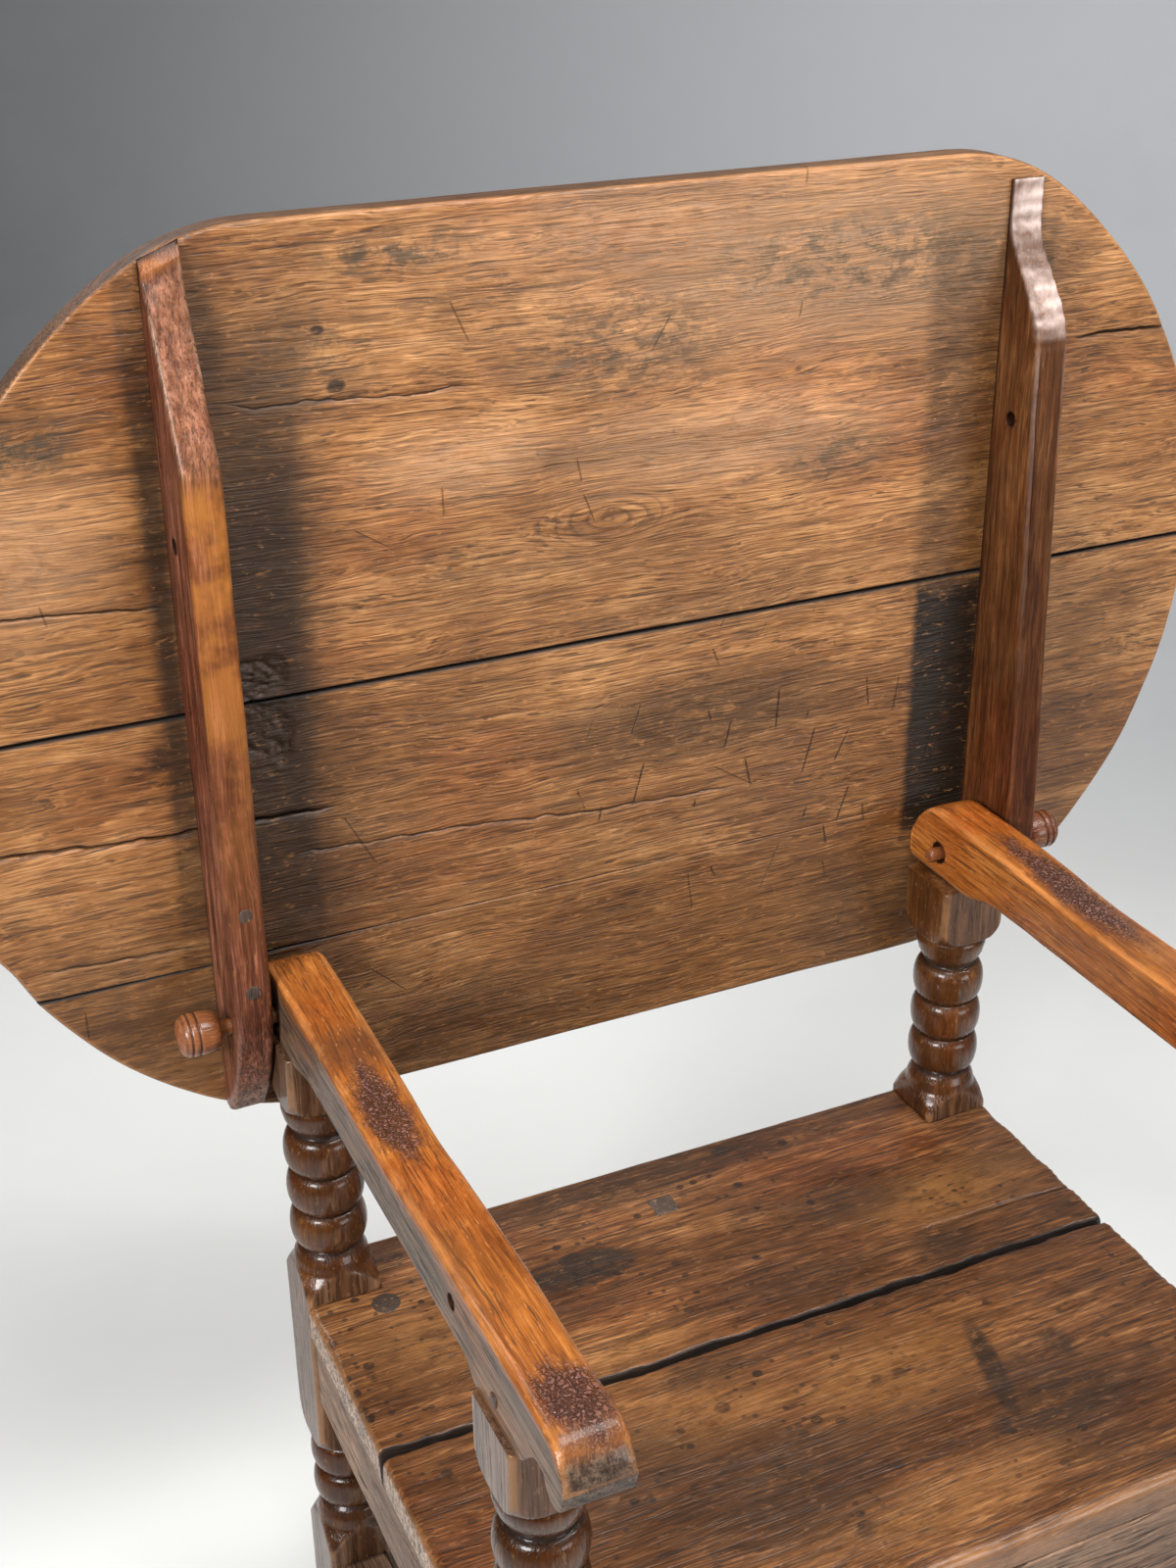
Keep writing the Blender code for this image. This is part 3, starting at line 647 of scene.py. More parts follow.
topFinish = {
    **plainOak, "name": "goldenBoardOak", "grain": "x", "seed": 0.37, "pith": (0.36, 0.60), "ringGap": 0.0075,
    "broad": 0.30, "cloud": 0.62, "streak": 0.66, "fibre": 0.95, "lines": 0.60, "rings": 0.16,
    "pores": 0.62, "blush": 0.45, "sheen": 0.36, "bump": 0.9,
    "colours": [(0.066, 0.023, 0.006), (0.178, 0.070, 0.020),
                (0.285, 0.122, 0.038), (0.490, 0.245, 0.094)],
    "rough": 0.40, "roughVary": 0.30, "coat": 0.06, "wander": 0.045, "ripple": 0.012,
    "wearColour": (0.44, 0.20, 0.070), "wearShare": 0.40,
    "knots": [{"at": (-0.017, frontY, 0.9646), "size": (0.024, 0.5, 0.011), "bulge": 0.75, "rings": 2.0}],
    "stainLayers": [
        {"colour": (0.600, 0.350, 0.190), "rough": -0.04, "blotch": (0.34, 0.60, 0.45), "stains": [
            onFront(0.150, 1.125, 0.170, 0.060, 0.42, 0.7),
            onFront(0.020, 1.158, 0.130, 0.024, 0.30, 0.7),
            onFront(0.080, 1.010, 0.120, 0.030, 0.35, 0.7),
            onFront(-0.120, 1.020, 0.060, 0.022, 0.35, 0.7),
            onFront(-0.420, 1.000, 0.060, 0.050, 0.30, 0.7),
        ]},
        {"colour": (0.040, 0.018, 0.006), "rough": 0.06, "blotch": (0.32, 0.60, 0.55), "stains": [
            # partly a stain, partly painted shade beside the left batten
            onFront(-0.266, 0.840, 0.034, 0.23, 0.97, 0.35, square=True, ragged=0.5),
            # painted shade: the lower boards darker towards the bottom
            onFront(0.000, 0.620, 0.470, 0.200, 0.46, 0.6, ragged=0.5),
            onFront(0.400, 0.800, 0.080, 0.110, 0.30, 0.6),
            onFront(-0.286, 1.100, 0.014, 0.080, 0.70, 0.6, ragged=0.8),
            onFront(-0.215, 0.715, 0.080, 0.130, 0.66, 0.6),
            onFront(0.425, 0.810, 0.055, 0.060, 0.50, 0.6),
            # partly a stain, partly painted shade beside the right batten
            onFront(0.266, 1.005, 0.031, 0.13, 0.66, 0.25, square=True, ragged=0.35),
            onFront(0.050, 0.802, 0.140, 0.038, 0.85, 0.6),
            onFront(-0.060, 0.938, 0.170, 0.032, 0.42, 0.7),
            onFront(0.050, 0.886, 0.130, 0.026, 0.48, 0.7),
            onFront(-0.120, 0.850, 0.080, 0.040, 0.35, 0.7),
            onFront(-0.150, 0.585, 0.170, 0.060, 0.75, 0.6),
            onFront(0.205, 0.600, 0.080, 0.070, 0.72, 0.6),
            onFront(-0.375, 0.650, 0.090, 0.070, 0.66, 0.6),
            onFront(0.020, 1.010, 0.110, 0.010, 0.45, 0.6),
            onFront(0.375, 0.720, 0.050, 0.040, 0.40, 0.6),
            onFront(0.345, 1.110, 0.030, 0.018, 0.50, 0.6),
        ]},
        {"colour": (0.048, 0.033, 0.019), "rough": 0.10, "blotch": (0.40, 0.62, 0.10), "stains": [
            onFront(0.170, 1.122, 0.140, 0.040, 0.80, 0.55),
            onFront(0.000, 1.085, 0.085, 0.042, 0.75, 0.6),
            onFront(-0.080, 1.120, 0.100, 0.035, 0.40, 0.6),
            onFront(-0.400, 1.066, 0.034, 0.020, 0.95, 0.5),
            onFront(-0.160, 1.158, 0.060, 0.014, 0.85, 0.5),
            onFront(-0.225, 1.100, 0.050, 0.040, 0.70, 0.6),
            onFront(0.160, 0.985, 0.045, 0.022, 0.70, 0.5),
        ]},
        {"colour": (0.011, 0.006, 0.003), "rough": 0.08, "blotch": (0.30, 0.50, 0.85), "stains": [
            onFront(0.267, 0.768, 0.029, 0.108, 1.0, 0.14, square=True, ragged=0.30),
            # partly a stain, partly painted shade beside the left batten
            onFront(-0.266, 0.880, 0.036, 0.21, 0.66, 0.85, square=True, ragged=0.9),
            onFront(-0.326, 0.940, 0.0085, 0.20, 0.85, 0.75, square=True, ragged=1.2),
            onFront(0.328, 0.900, 0.0070, 0.22, 0.55, 0.75, square=True, ragged=1.2),
            onFront(-0.203, 1.080, 0.006, 0.004, 0.9, 0.3),
            onFront(-0.213, 1.116, 0.0045, 0.003, 0.9, 0.3),
            onFront(-0.335, 0.850, 0.013, 0.010, 0.75, 0.5),
        ]},
        {"colour": (0.034, 0.016, 0.007), "rough": 0.10, "blotch": (0.20, 0.45, 0.80), "stains": [
            onFront(-0.268, 0.893, 0.022, 0.015, 0.80, 0.25, ragged=0.9),
            onFront(-0.270, 0.856, 0.022, 0.024, 0.85, 0.25, ragged=0.9),
        ]},
    ],
    "spotLayers": [
        {"scale": (60.0, 0.0, 85.0), "chance": 0.82, "size": 0.18, "strength": 0.50,
         "colour": (0.045, 0.024, 0.014)}],
    "markLayers": [
        {"cells": (28.0, 0.0, 17.0), "slant": 0.9, "width": 0.0009, "length": 0.022, "chance": 0.25,
         "strength": 0.85, "colour": (0.022, 0.012, 0.007),
         "where": [onFront(0.105, 0.745, 0.145, 0.105, 1.0, 0.3)]},
        {"cells": (11.0, 0.0, 9.0), "slant": 2.2, "width": 0.0007, "length": 0.026, "chance": 0.62,
         "strength": 0.40, "colour": (0.035, 0.018, 0.010)},
    ],
}

seatFinish = {
    **plainOak, "name": "stainedSeatOak", "grain": "x", "seed": 2.71, "pith": (0.10, 0.52), "ringGap": 0.0065,
    "broad": 0.26, "cloud": 0.52, "streak": 0.80, "fibre": 0.95, "lines": 0.66, "rings": 0.18, "pores": 0.75,
    "colours": [(0.026, 0.010, 0.004), (0.080, 0.030, 0.010),
                (0.145, 0.056, 0.018), (0.350, 0.160, 0.058)],
    # the seat's wear colour is partly wear, partly painted highlight along its edges and nose
    "rough": 0.36, "roughVary": 0.30, "coat": 0.22, "coatRough": 0.14, "wearColour": (0.30, 0.145, 0.062),
    "wearShare": 0.5, "wearGloss": -0.16, "dryDark": (0.150, 0.095, 0.064),
    # a pale dry colour, partly dry end grain and partly painted highlight on the board ends
    "dryLight": (0.560, 0.410, 0.300), "lineColour": (0.028, 0.012, 0.006),
    "stainLayers": [
        {"colour": (0.270, 0.120, 0.036), "rough": 0.0, "blotch": (0.40, 0.58, 0.25), "stains": [
            onSeat(-0.080, -0.030, 0.060, 0.030, 0.55, 0.7),
            onSeat(0.050, -0.050, 0.070, 0.035, 0.50, 0.7),
            onSeat(0.200, 0.100, 0.070, 0.028, 0.55, 0.7),
            onSeat(-0.215, 0.110, 0.060, 0.035, 0.45, 0.7),
            onSeat(-0.100, 0.042, 0.050, 0.016, 0.50, 0.7),
            onSeat(0.020, -0.165, 0.090, 0.022, 0.40, 0.7),
        ]},
        {"colour": (0.024, 0.015, 0.010), "rough": -0.05, "blotch": (0.34, 0.56, 0.35), "stains": [
            onSeat(-0.098, 0.137, 0.046, 0.019, 0.95, 0.12, ragged=0.5),
            onSeat(0.119, -0.082, 0.009, 0.054, 0.95, 0.3, turn=(0.0, 0.0, -0.256), ragged=0.8),
            onSeat(0.176, -0.077, 0.012, 0.016, 0.85, 0.5),
            onSeat(0.150, -0.130, 0.050, 0.050, 0.70, 0.7),
            onSeat(0.165, 0.050, 0.026, 0.020, 0.80, 0.5),
            onSeat(-0.060, -0.110, 0.070, 0.050, 0.70, 0.7),
            onSeat(-0.150, -0.060, 0.060, 0.040, 0.55, 0.7),
            onSeat(-0.055, 0.000, 0.040, 0.016, 0.60, 0.6),
            onSeat(0.050, 0.060, 0.070, 0.018, 0.55, 0.7),
            onSeat(0.000, 0.215, 0.250, 0.022, 0.65, 0.7),
            onSeat(0.120, 0.120, 0.045, 0.020, 0.60, 0.6),
        ]},
    ],
    "spotLayers": [
        {"scale": (70.0, 85.0, 0.0), "chance": 0.35, "size": 0.32, "strength": 0.82,
         "colour": (0.016, 0.010, 0.007)},
        {"scale": (31.0, 36.0, 0.0), "chance": 0.60, "size": 0.28, "strength": 0.72,
         "colour": (0.020, 0.012, 0.008)},
        {"scale": (140.0, 160.0, 0.0), "chance": 0.40, "size": 0.34, "strength": 0.70,
         "colour": (0.018, 0.010, 0.007)},
    ],
}

armFinish = {
    **plainOak, "name": "amberArmOak", "grain": "y", "seed": 5.1, "pith": (0.15, 0.40), "ringGap": 0.008,
    "broad": 0.28, "cloud": 0.60, "streak": 0.55, "fibre": 0.55, "lines": 0.50, "rings": 0.15, "pores": 0.60,
    "colours": [(0.070, 0.017, 0.003), (0.190, 0.052, 0.008),
                (0.300, 0.094, 0.016), (0.500, 0.200, 0.048)],
    "rough": 0.30, "roughVary": 0.25, "coat": 0.20, "coatRough": 0.14, "lineColour": (0.060, 0.016, 0.005),
    "sheen": 0.20, "wearColour": (0.60, 0.25, 0.08), "wearShare": 0.35,
    "dryDark": (0.032, 0.020, 0.013), "dryLight": (0.150, 0.096, 0.062),
    "stainLayers": [
        {"colour": (0.075, 0.028, 0.012), "rough": 0.0, "blotch": (0.32, 0.58, 0.45), "stains": [
            onArm(-0.268, 0.105, 0.030, 0.022, 0.75, 0.6),
            onArm(0.268, 0.020, 0.018, 0.110, 0.60, 0.6),
            onArm(-0.285, -0.090, 0.010, 0.060, 0.5, 0.6),
            patch((-0.268, -0.268, 0.68), (0.024, 0.024, 0.05), 0.75, 0.6),
        ]},
    ],
    "crazed": {
        "scale": (330.0, 240.0, 330.0), "colour": (0.150, 0.070, 0.058), "crack": (0.014, 0.006, 0.005),
        "rough": -0.10, "where": [
            onArm(-0.270, 0.035, 0.014, 0.050, 0.95, 0.35),
            onArm(-0.266, -0.240, 0.018, 0.026, 0.95, 0.35),
            onArm(0.270, 0.075, 0.014, 0.075, 0.95, 0.40),
        ]},
}

battenFinish = {
    **plainOak, "name": "redBattenOak", "grain": "z", "seed": 8.3, "pith": (0.10, 0.05), "ringGap": 0.0055,
    "broad": 0.28, "cloud": 0.50, "streak": 1.15, "fibre": 0.55, "lines": 0.70, "rings": 0.20,
    "pores": 0.55, "sheen": 0.15,
    "colours": [(0.014, 0.004, 0.002), (0.066, 0.018, 0.009),
                (0.130, 0.041, 0.021), (0.380, 0.150, 0.088)],
    "rough": 0.30, "roughVary": 0.25, "coat": 0.14, "coatRough": 0.16, "lineColour": (0.022, 0.007, 0.004),
    "wearShare": 0.88, "wearColour": (0.335, 0.122, 0.024), "blushColour": (0.95, 0.60, 0.50),
    "dryDark": (0.070, 0.036, 0.022), "dryLight": (0.270, 0.165, 0.105),
}

# brown batten: its silver wear colour is partly rubbed arrises, partly painted highlight on the ogee and
# arrises
darkBattenFinish = {
    **battenFinish, "name": "brownBattenOak", "seed": 9.9, "wearColour": (0.60, 0.48, 0.43),
    "wearShare": 0.85, "rough": 0.32, "soilColour": (0.014, 0.004, 0.002), "sheen": 0.08, "coat": 0.06,
    "streak": 0.8, "lines": 0.62, "scuff": 0.0,
    "colours": [(0.018, 0.006, 0.002), (0.052, 0.018, 0.006),
                (0.095, 0.034, 0.011), (0.210, 0.090, 0.032)],
}

postFinish = {
    **plainOak, "name": "turnedPostOak", "grain": "z", "seed": 11.9, "pith": (0.33, 0.33), "ringGap": 0.006,
    "broad": 0.22, "cloud": 0.65, "streak": 0.55, "fibre": 0.25, "lines": 0.45, "rings": 0.12, "pores": 0.50,
    "colours": [(0.009, 0.003, 0.001), (0.038, 0.012, 0.003),
                (0.074, 0.025, 0.006), (0.200, 0.078, 0.023)],
    "rough": 0.24, "roughVary": 0.20, "coat": 0.26, "sheen": 0.18, "coatRough": 0.10,
    "lineColour": (0.020, 0.009, 0.005), "bump": 0.5, "wearColour": (0.30, 0.150, 0.065), "wearShare": 0.45,
}

railFinish = {
    **plainOak, "name": "dryRailOakX", "grain": "x", "seed": 14.2, "pith": (0.5, 0.1), "ringGap": 0.007,
    "broad": 0.28, "cloud": 0.60, "streak": 0.80, "fibre": 0.40, "lines": 0.65, "rings": 0.20, "pores": 0.80,
    "colours": [(0.046, 0.024, 0.014), (0.130, 0.073, 0.044),
                (0.220, 0.132, 0.083), (0.400, 0.270, 0.182)],
    "rough": 0.52, "roughVary": 0.25, "coat": 0.05, "bump": 0.75, "poreFrom": 0.57, "blush": 0.3,
}

sideRailFinish = {**railFinish, "name": "dryRailOakY", "grain": "y", "seed": 16.8}

plugFinish = {
    **plainOak, "name": "darkPlugOak", "grain": "z", "seed": 19.4, "pith": (0.02, 0.02), "ringGap": 0.003,
    "broad": 0.20, "cloud": 0.60, "streak": 0.40, "fibre": 0.30, "lines": 0.30, "rings": 0.12, "pores": 0.50,
    "colours": [(0.012, 0.008, 0.006), (0.030, 0.020, 0.015),
                (0.055, 0.037, 0.027), (0.110, 0.075, 0.055)],
    "rough": 0.42, "roughVary": 0.20,
}

pinFinish = {
    **plainOak, "name": "chestnutPinWood", "grain": "x", "seed": 23.0, "pith": (0.30, 0.70), "ringGap": 0.004,
    "broad": 0.25, "cloud": 0.60, "streak": 0.50, "fibre": 0.30, "lines": 0.35, "rings": 0.15, "pores": 0.40,
    "colours": [(0.060, 0.018, 0.007), (0.150, 0.048, 0.016),
                (0.240, 0.082, 0.028), (0.390, 0.160, 0.062)],
    "rough": 0.30, "roughVary": 0.20, "coat": 0.30, "coatRough": 0.18, "lineColour": (0.040, 0.012, 0.006),
}

woods = (
    topFinish, seatFinish, armFinish, battenFinish, darkBattenFinish, postFinish, railFinish, sideRailFinish,
    plugFinish, pinFinish,
)
finishes = {spec["name"]: oakFinish(spec) for spec in woods}
print("finishes made:", len(finishes))


# Turned pieces: a lathe profile spun round its line, held inside square stock, then put in place

def lathePath():
    tree = bpy.data.node_groups.new("turnedPiece", "GeometryNodeTree")
    face = tree.interface
    face.new_socket("Geometry", in_out="OUTPUT", socket_type="NodeSocketGeometry")
    face.new_socket("Geometry", in_out="INPUT", socket_type="NodeSocketGeometry")
    for name, kind in (
        ("Sides", "Int"), ("Stock Half", "Float"), ("Tool Marks", "Float"), ("Seed", "Float"),
        ("Turn", "Vector"), ("Place", "Vector"), ("Finish", "Material"),
    ):
        face.new_socket(name, in_out="INPUT", socket_type="NodeSocket" + kind)
    given = tree.nodes.new("NodeGroupInput").outputs
    line = put(tree, "GeometryNodeMeshToCurve", {"Mesh": given["Geometry"]}).outputs[0]
    radius = put(tree, "GeometryNodeInputNamedAttribute", {"Name": "lathe"}, data_type="FLOAT").outputs[0]
    values = {"Resolution": given["Sides"], "Radius": 1.0}
    circle = put(tree, "GeometryNodeCurvePrimitiveCircle", values).outputs[0]
    values = {"Curve": line, "Profile Curve": circle, "Scale": radius, "Fill Caps": True}
    spun = put(tree, "GeometryNodeCurveToMesh", values).outputs[0]
    xyz = parted(tree, put(tree, "GeometryNodeInputPosition").outputs[0])
    half = given["Stock Half"]
    negative = times(tree, half, -1.0)
    held = [calc(tree, "MAXIMUM", calc(tree, "MINIMUM", xyz[n], half), negative) for n in (0, 1)]
    square = joined(tree, held[0], held[1], xyz[2])
    planed = put(tree, "GeometryNodeSetPosition", {"Geometry": spun, "Position": square}).outputs[0]
    values = {"W": given["Seed"], "Scale": 34.0, "Detail": 2.0}
    texture = put(tree, "ShaderNodeTexNoise", values, noise_dimensions="4D").outputs[0]
    amount = times(tree, minus(tree, texture, 0.5), given["Tool Marks"])
    normal = put(tree, "GeometryNodeInputNormal").outputs[0]
    nudge = put(tree, "ShaderNodeVectorMath", {0: normal, "Scale": amount}, operation="SCALE").outputs[0]
    marked = put(tree, "GeometryNodeSetPosition", {"Geometry": planed, "Offset": nudge}).outputs[0]
    values = {"Geometry": marked, "Translation": given["Place"], "Rotation": given["Turn"]}
    moved = put(tree, "GeometryNodeTransform", values).outputs[0]
    smooth = put(tree, "GeometryNodeSetShadeSmooth", {"Geometry": moved}).outputs[0]
    real = put(tree, "GeometryNodeRealizeInstances", {"Geometry": smooth}).outputs[0]
    dressed = put(tree, "GeometryNodeSetMaterial", {"Geometry": real, "Material": given["Finish"]}).outputs[0]
    tree.links.new(dressed, tree.nodes.new("NodeGroupOutput").inputs[0])
    return tree


latheTree = lathePath()
latheItems = [item for item in latheTree.interface.items_tree if item.in_out == "INPUT"]
latheSockets = {item.name: item.identifier for item in latheItems}
roundStock = 1.0         # stock wider than any turning, so nothing is planed off


def turnPiece(name, profile, finish, place, seed, marks, sides=32, half=roundStock, turn=noTurn, layers=None):
    line = bpy.data.meshes.new(name + "Line")        # profile rows: distance along, radius
    spots = [(0.0, 0.0, along) for along, _ in profile]
    line.from_pydata(spots, [(n, n + 1) for n in range(len(spots) - 1)], [])
    paint(line, {"lathe": [radius for _, radius in profile], **(layers or {})})
    stock = newObject(name + "Stock", line)
    lathe = stock.modifiers.new("lathe", "NODES")
    lathe.node_group = latheTree
    values = {
        "Sides": sides, "Stock Half": half, "Tool Marks": marks, "Seed": seed, "Turn": turn, "Place": place,
        "Finish": finishes[finish],
    }
    for key, value in values.items():
        lathe[latheSockets[key]] = value
    return applied(stock, name)


# Posts: square blocks and bobbin turning, worn at the corners

postSpec = {
    "half": 0.028, "corner": 0.0380, "groove": 0.0198, "sides": 96, "toolMarks": 0.0007, "x": 0.264,
    "frontY": -0.1859, "rearY": 0.2091, "stretcherBlock": 0.180, "seatTop": seatTop, "armSeat": 0.6428,
    "cornerWear": (0.0355, 0.0378), "grooveSoil": 0.92,
    "low": {         # shares of the length from the stretchers' block to the seat
        "bell": 0.152, "beads": 2, "bead": 0.126, "shoulder": 0.404, "shoulderSpan": 0.096, "block": 0.5,
    },
    "high": {        # shares of the length from the seat to the arm
        "blockEnd": 0.012, "bellStart": 0.015, "bell": 0.159, "beadStart": 0.174, "beads": 3, "bead": 0.155,
        "collar": 0.639, "collarRows": [(0.020, 0.80), (0.05, 0.91), (0.09, 0.975), (0.112, 0.96)],
        "shoulder": 0.118, "shoulderSpan": 0.085, "block": 0.212,
    },
}


def beadProfile(low, high, groove, crest, count=14):
    steps = np.linspace(0, 1, count + 1)[1:]
    along = low + (high - low) * (1 - np.cos(np.pi * steps)) / 2
    return [(a, groove + (crest - groove) * math.sin(math.pi * t) ** 0.85) for a, t in zip(along, steps)]


def bellProfile(low, span, spec):        # pyramid corners running up into a bell and its groove
    shares = (0.0, 0.27, 0.50, 0.70, 0.88, 1.0)
    half = spec["half"]
    sizes = (spec["corner"], 1.20 * half, half, 0.95 * half, 0.85 * half, spec["groove"])
    return [(low + span * s, float(np.interp(s, shares, sizes))) for s in np.linspace(0, 1, 26)]


def shoulderProfile(low, span, spec):        # rounded shoulder below a square block
    half = spec["half"]
    rows = [(low + share * span, size * half) for share, size in ((0.0, 0.92), (0.06, 0.935), (0.12, 0.92))]
    for t in np.linspace(0.02, 1, 12):
        rise = 0.12 + 0.88 * (1 - math.cos(quarterTurn * t))
        rows.append((low + rise * span, half + (spec["corner"] - half) * math.sin(quarterTurn * t)))
    return rows


def beadRows(first, bead, count, spec):
    starts = [first + n * bead for n in range(count)]
    return [row for start in starts for row in beadProfile(start, start + bead, spec["groove"], spec["half"])]


def squareRows(low, high, count, spec):
    return [(z, spec["corner"]) for z in np.linspace(low, high, count)]


def postProfile(spec):       # from the foot up
    corner, base, seat, top = spec["corner"], spec["stretcherBlock"], spec["seatTop"], spec["armSeat"]
    under, over = seat - base, top - seat
    low, high = spec["low"], spec["high"]
    rows = [(0.0, corner - 0.004), (0.0015, corner - 0.0012), (0.004, corner)]
    rows += squareRows(0.012, base - 0.004, 26, spec)
    rows += bellProfile(base, low["bell"] * under, spec)
    rows += beadRows(base + low["bell"] * under, low["bead"] * under, low["beads"], spec)
    rows += shoulderProfile(base + low["shoulder"] * under + 0.0004, low["shoulderSpan"] * under, spec)
    rows += squareRows(base + low["block"] * under + 0.004, seat + high["blockEnd"] * over, 22, spec)
    rows += bellProfile(seat + high["bellStart"] * over, high["bell"] * over, spec)
    rows += beadRows(seat + high["beadStart"] * over, high["bead"] * over, high["beads"], spec)
    collar = seat + high["collar"] * over
    rows += [(collar + share * over, size * spec["half"]) for share, size in high["collarRows"]]
    rows += shoulderProfile(collar + high["shoulder"] * over, high["shoulderSpan"] * over, spec)
    rows += squareRows(collar + high["block"] * over, top - 0.0006, 14, spec)
    return rows + [(top, corner - 0.0012)]


def makePost(sideName, side, endName, spec):
    profile = postProfile(spec)
    half = spec["half"]
    radii = np.array([radius for _, radius in profile])
    # grooves painted darker
    soil = np.clip((0.90 * half - radii) / (0.90 * half - spec["groove"]), 0, 1) * spec["grooveSoil"]
    node = "post_" + endName + "_" + sideName
    place = (side * spec["x"], spec[endName + "Y"], 0.0)
    mesh = turnPiece(
        node + "_turned", profile, "turnedPostOak", place, 3.0 * side + 10.0 * place[1], spec["toolMarks"],
        sides=spec["sides"], half=half, layers={"soil": soil},
    )
    points = pointsOf(mesh)
    points[:, 2] = np.maximum(points[:, 2], 0.0)         # tool marks don't reach below the floor
    mesh.vertices.foreach_set("co", points.ravel())
    x, y, z = (points - place).T
    fromAxis = np.hypot(x, y)
    onFlat = smoothStep(np.maximum(np.abs(x), np.abs(y)), half - 0.0016, half - 0.0006)
    # outer and front faces greyed: partly dry wood, partly painted sheen
    outside = smoothStep(x * side, half - 0.003, half - 0.001)
    outside = np.maximum(outside, 0.8 * smoothStep(-y, half - 0.003, half - 0.001))
    block = smoothStep(fromAxis, half * 0.9, half)
    patchy = np.clip(0.75 + 0.4 * waverDeep(x * 40, y * 40, z * 12), 0, 1)
    wear = smoothStep(fromAxis, *spec["cornerWear"])
    paint(mesh, {"dry": 0.5 * outside * onFlat * block * patchy, "wear": wear})
    addPiece(mesh, "base", node, "turnedPostOak")


for sideName, side in bothSides:
    for endName in ("front", "rear"):
        makePost(sideName, side, endName, postSpec)
print("posts turned")


# Top boards with bowed ends, worn rim, cracks and a torn hollow by the left batten

topSpec = {
    "halfWidth": 0.315, "halfLength": 0.492, "endRadius": 0.3465, "cornerRadius": 0.1575, "rim": 0.0040,
    "jointRound": 0.0016, "cell": 0.0034, "fineCell": 0.0017, "fineColumns": (-0.29, -0.235),
    "fineRows": 0.05, "tightFrom": (-0.30, -0.12), "tight": 0.82,
    "dents": [(0.0007, (7, 0.0, 11)), (0.00030, (22, 5.0, 75)), (0.00018, (55, 9.0, 210))],
    "backDents": [(0.0005, (6, 20.0, 9)), (0.00022, (18, 25.0, 60))],
    "boards": {
        "upper": {"low": 0.0073, "high": 0.315, "cracks": [
            {"width": 0.0005, "depth": 0.0014, "line": [
                (-0.280, 1.0787), (-0.255, 1.0710), (-0.225, 1.0730), (-0.190, 1.0700), (-0.150, 1.0690),
                (-0.100, 1.0690)]},
            {"width": 0.0007, "depth": 0.0030, "line": [
                (-0.470, 0.9640), (-0.426, 0.9610), (-0.372, 0.9570), (-0.318, 0.9518)]},
            {"width": 0.0012, "depth": 0.0045, "line": [
                (0.355, 1.0470), (0.400, 1.0475), (0.440, 1.0451), (0.460, 1.0450)]},
        ]},
        "middle": {"low": -0.1824, "high": 0.0053, "cracks": [
            {"width": 0.0011, "depth": 0.0050, "line": [
                (-0.470, 0.8030), (-0.448, 0.8013), (-0.390, 0.7960), (-0.320, 0.7914), (-0.215, 0.7890)]},
            {"width": 0.0006, "depth": 0.0018, "line": [
                (-0.262, 0.7600), (-0.185, 0.7564), (-0.111, 0.7514), (-0.018, 0.7426), (0.096, 0.7380)]},
            {"width": 0.0007, "depth": 0.0030, "line": [
                (-0.440, 0.7120), (-0.390, 0.7080), (-0.321, 0.7040)]},
        ]},
        "lower": {"low": -0.315, "high": -0.1830, "cracks": []},
    },
    "torn": [((-0.268, 0.894), (0.022, 0.016)), ((-0.270, 0.856), (0.022, 0.025))], "tornDepth": 0.0024,
}


def reachAt(height, spec):       # half the top's length at a height from its middle, and its rim's slope
    height = np.minimum(np.abs(height), spec["halfWidth"] - 1e-6)
    endCentre = spec["halfLength"] - spec["endRadius"]
    cornerZ = spec["halfWidth"] - spec["cornerRadius"]
    span = spec["endRadius"] - spec["cornerRadius"]
    cornerX = endCentre + math.sqrt(span ** 2 - cornerZ ** 2)
    onEnd = height < spec["endRadius"] * cornerZ / span
    endReach = endCentre + np.sqrt(np.maximum(spec["endRadius"] ** 2 - height ** 2, 0))
    cornerReach = cornerX + np.sqrt(np.maximum(spec["cornerRadius"] ** 2 - (height - cornerZ) ** 2, 0))
    endSlope = np.sqrt(np.maximum(1 - (height / spec["endRadius"]) ** 2, 0.0025))
    cornerSlope = np.sqrt(np.maximum(1 - ((height - cornerZ) / spec["cornerRadius"]) ** 2, 0.0025))
    return np.where(onEnd, endReach, cornerReach), np.where(onEnd, endSlope, cornerSlope)


def crackLine(crack, x):
    xs, zs = zip(*crack["line"])
    return np.interp(x, xs, zs) + 0.0013 * waverDeep(x * 90, 3.3, zs[0] * 50)


def topGrid(board, cracks, spec):        # columns as shares of the reach, rows as heights from the middle
    low, high = board["low"], board["high"]
    rows = list(np.arange(low, high, spec["cell"]))
    rows += [low + d for d in edgeSteps(spec["rim"] if low <= -spec["halfWidth"] else spec["jointRound"])]
    rows += [high - d for d in edgeSteps(spec["rim"] if high >= spec["halfWidth"] else spec["jointRound"])]
    for crack, row in cracks:
        rows += [row + crack["width"] * step for step in crackRows]
    mainJoint = spec["boards"]["upper"]["low"]
    rows += list(np.arange(mainJoint - spec["fineRows"], mainJoint + spec["fineRows"], spec["fineCell"]))
    rows = np.array(spaced([value for value in rows if low <= value <= high], 0.00035))
    rows[0], rows[-1] = low, high
    spots = list(np.arange(-spec["halfLength"], spec["halfLength"], spec["cell"]))
    spots += list(np.arange(*spec["fineColumns"], spec["fineCell"]))
    spots += [side * (spec["halfLength"] - d) for d in edgeSteps(spec["rim"]) for side in (-1, 1)]
    columns = np.array(spaced(spots, 0.0005)) / spec["halfLength"]
    columns[0], columns[-1] = -1.0, 1.0
    return columns, rows


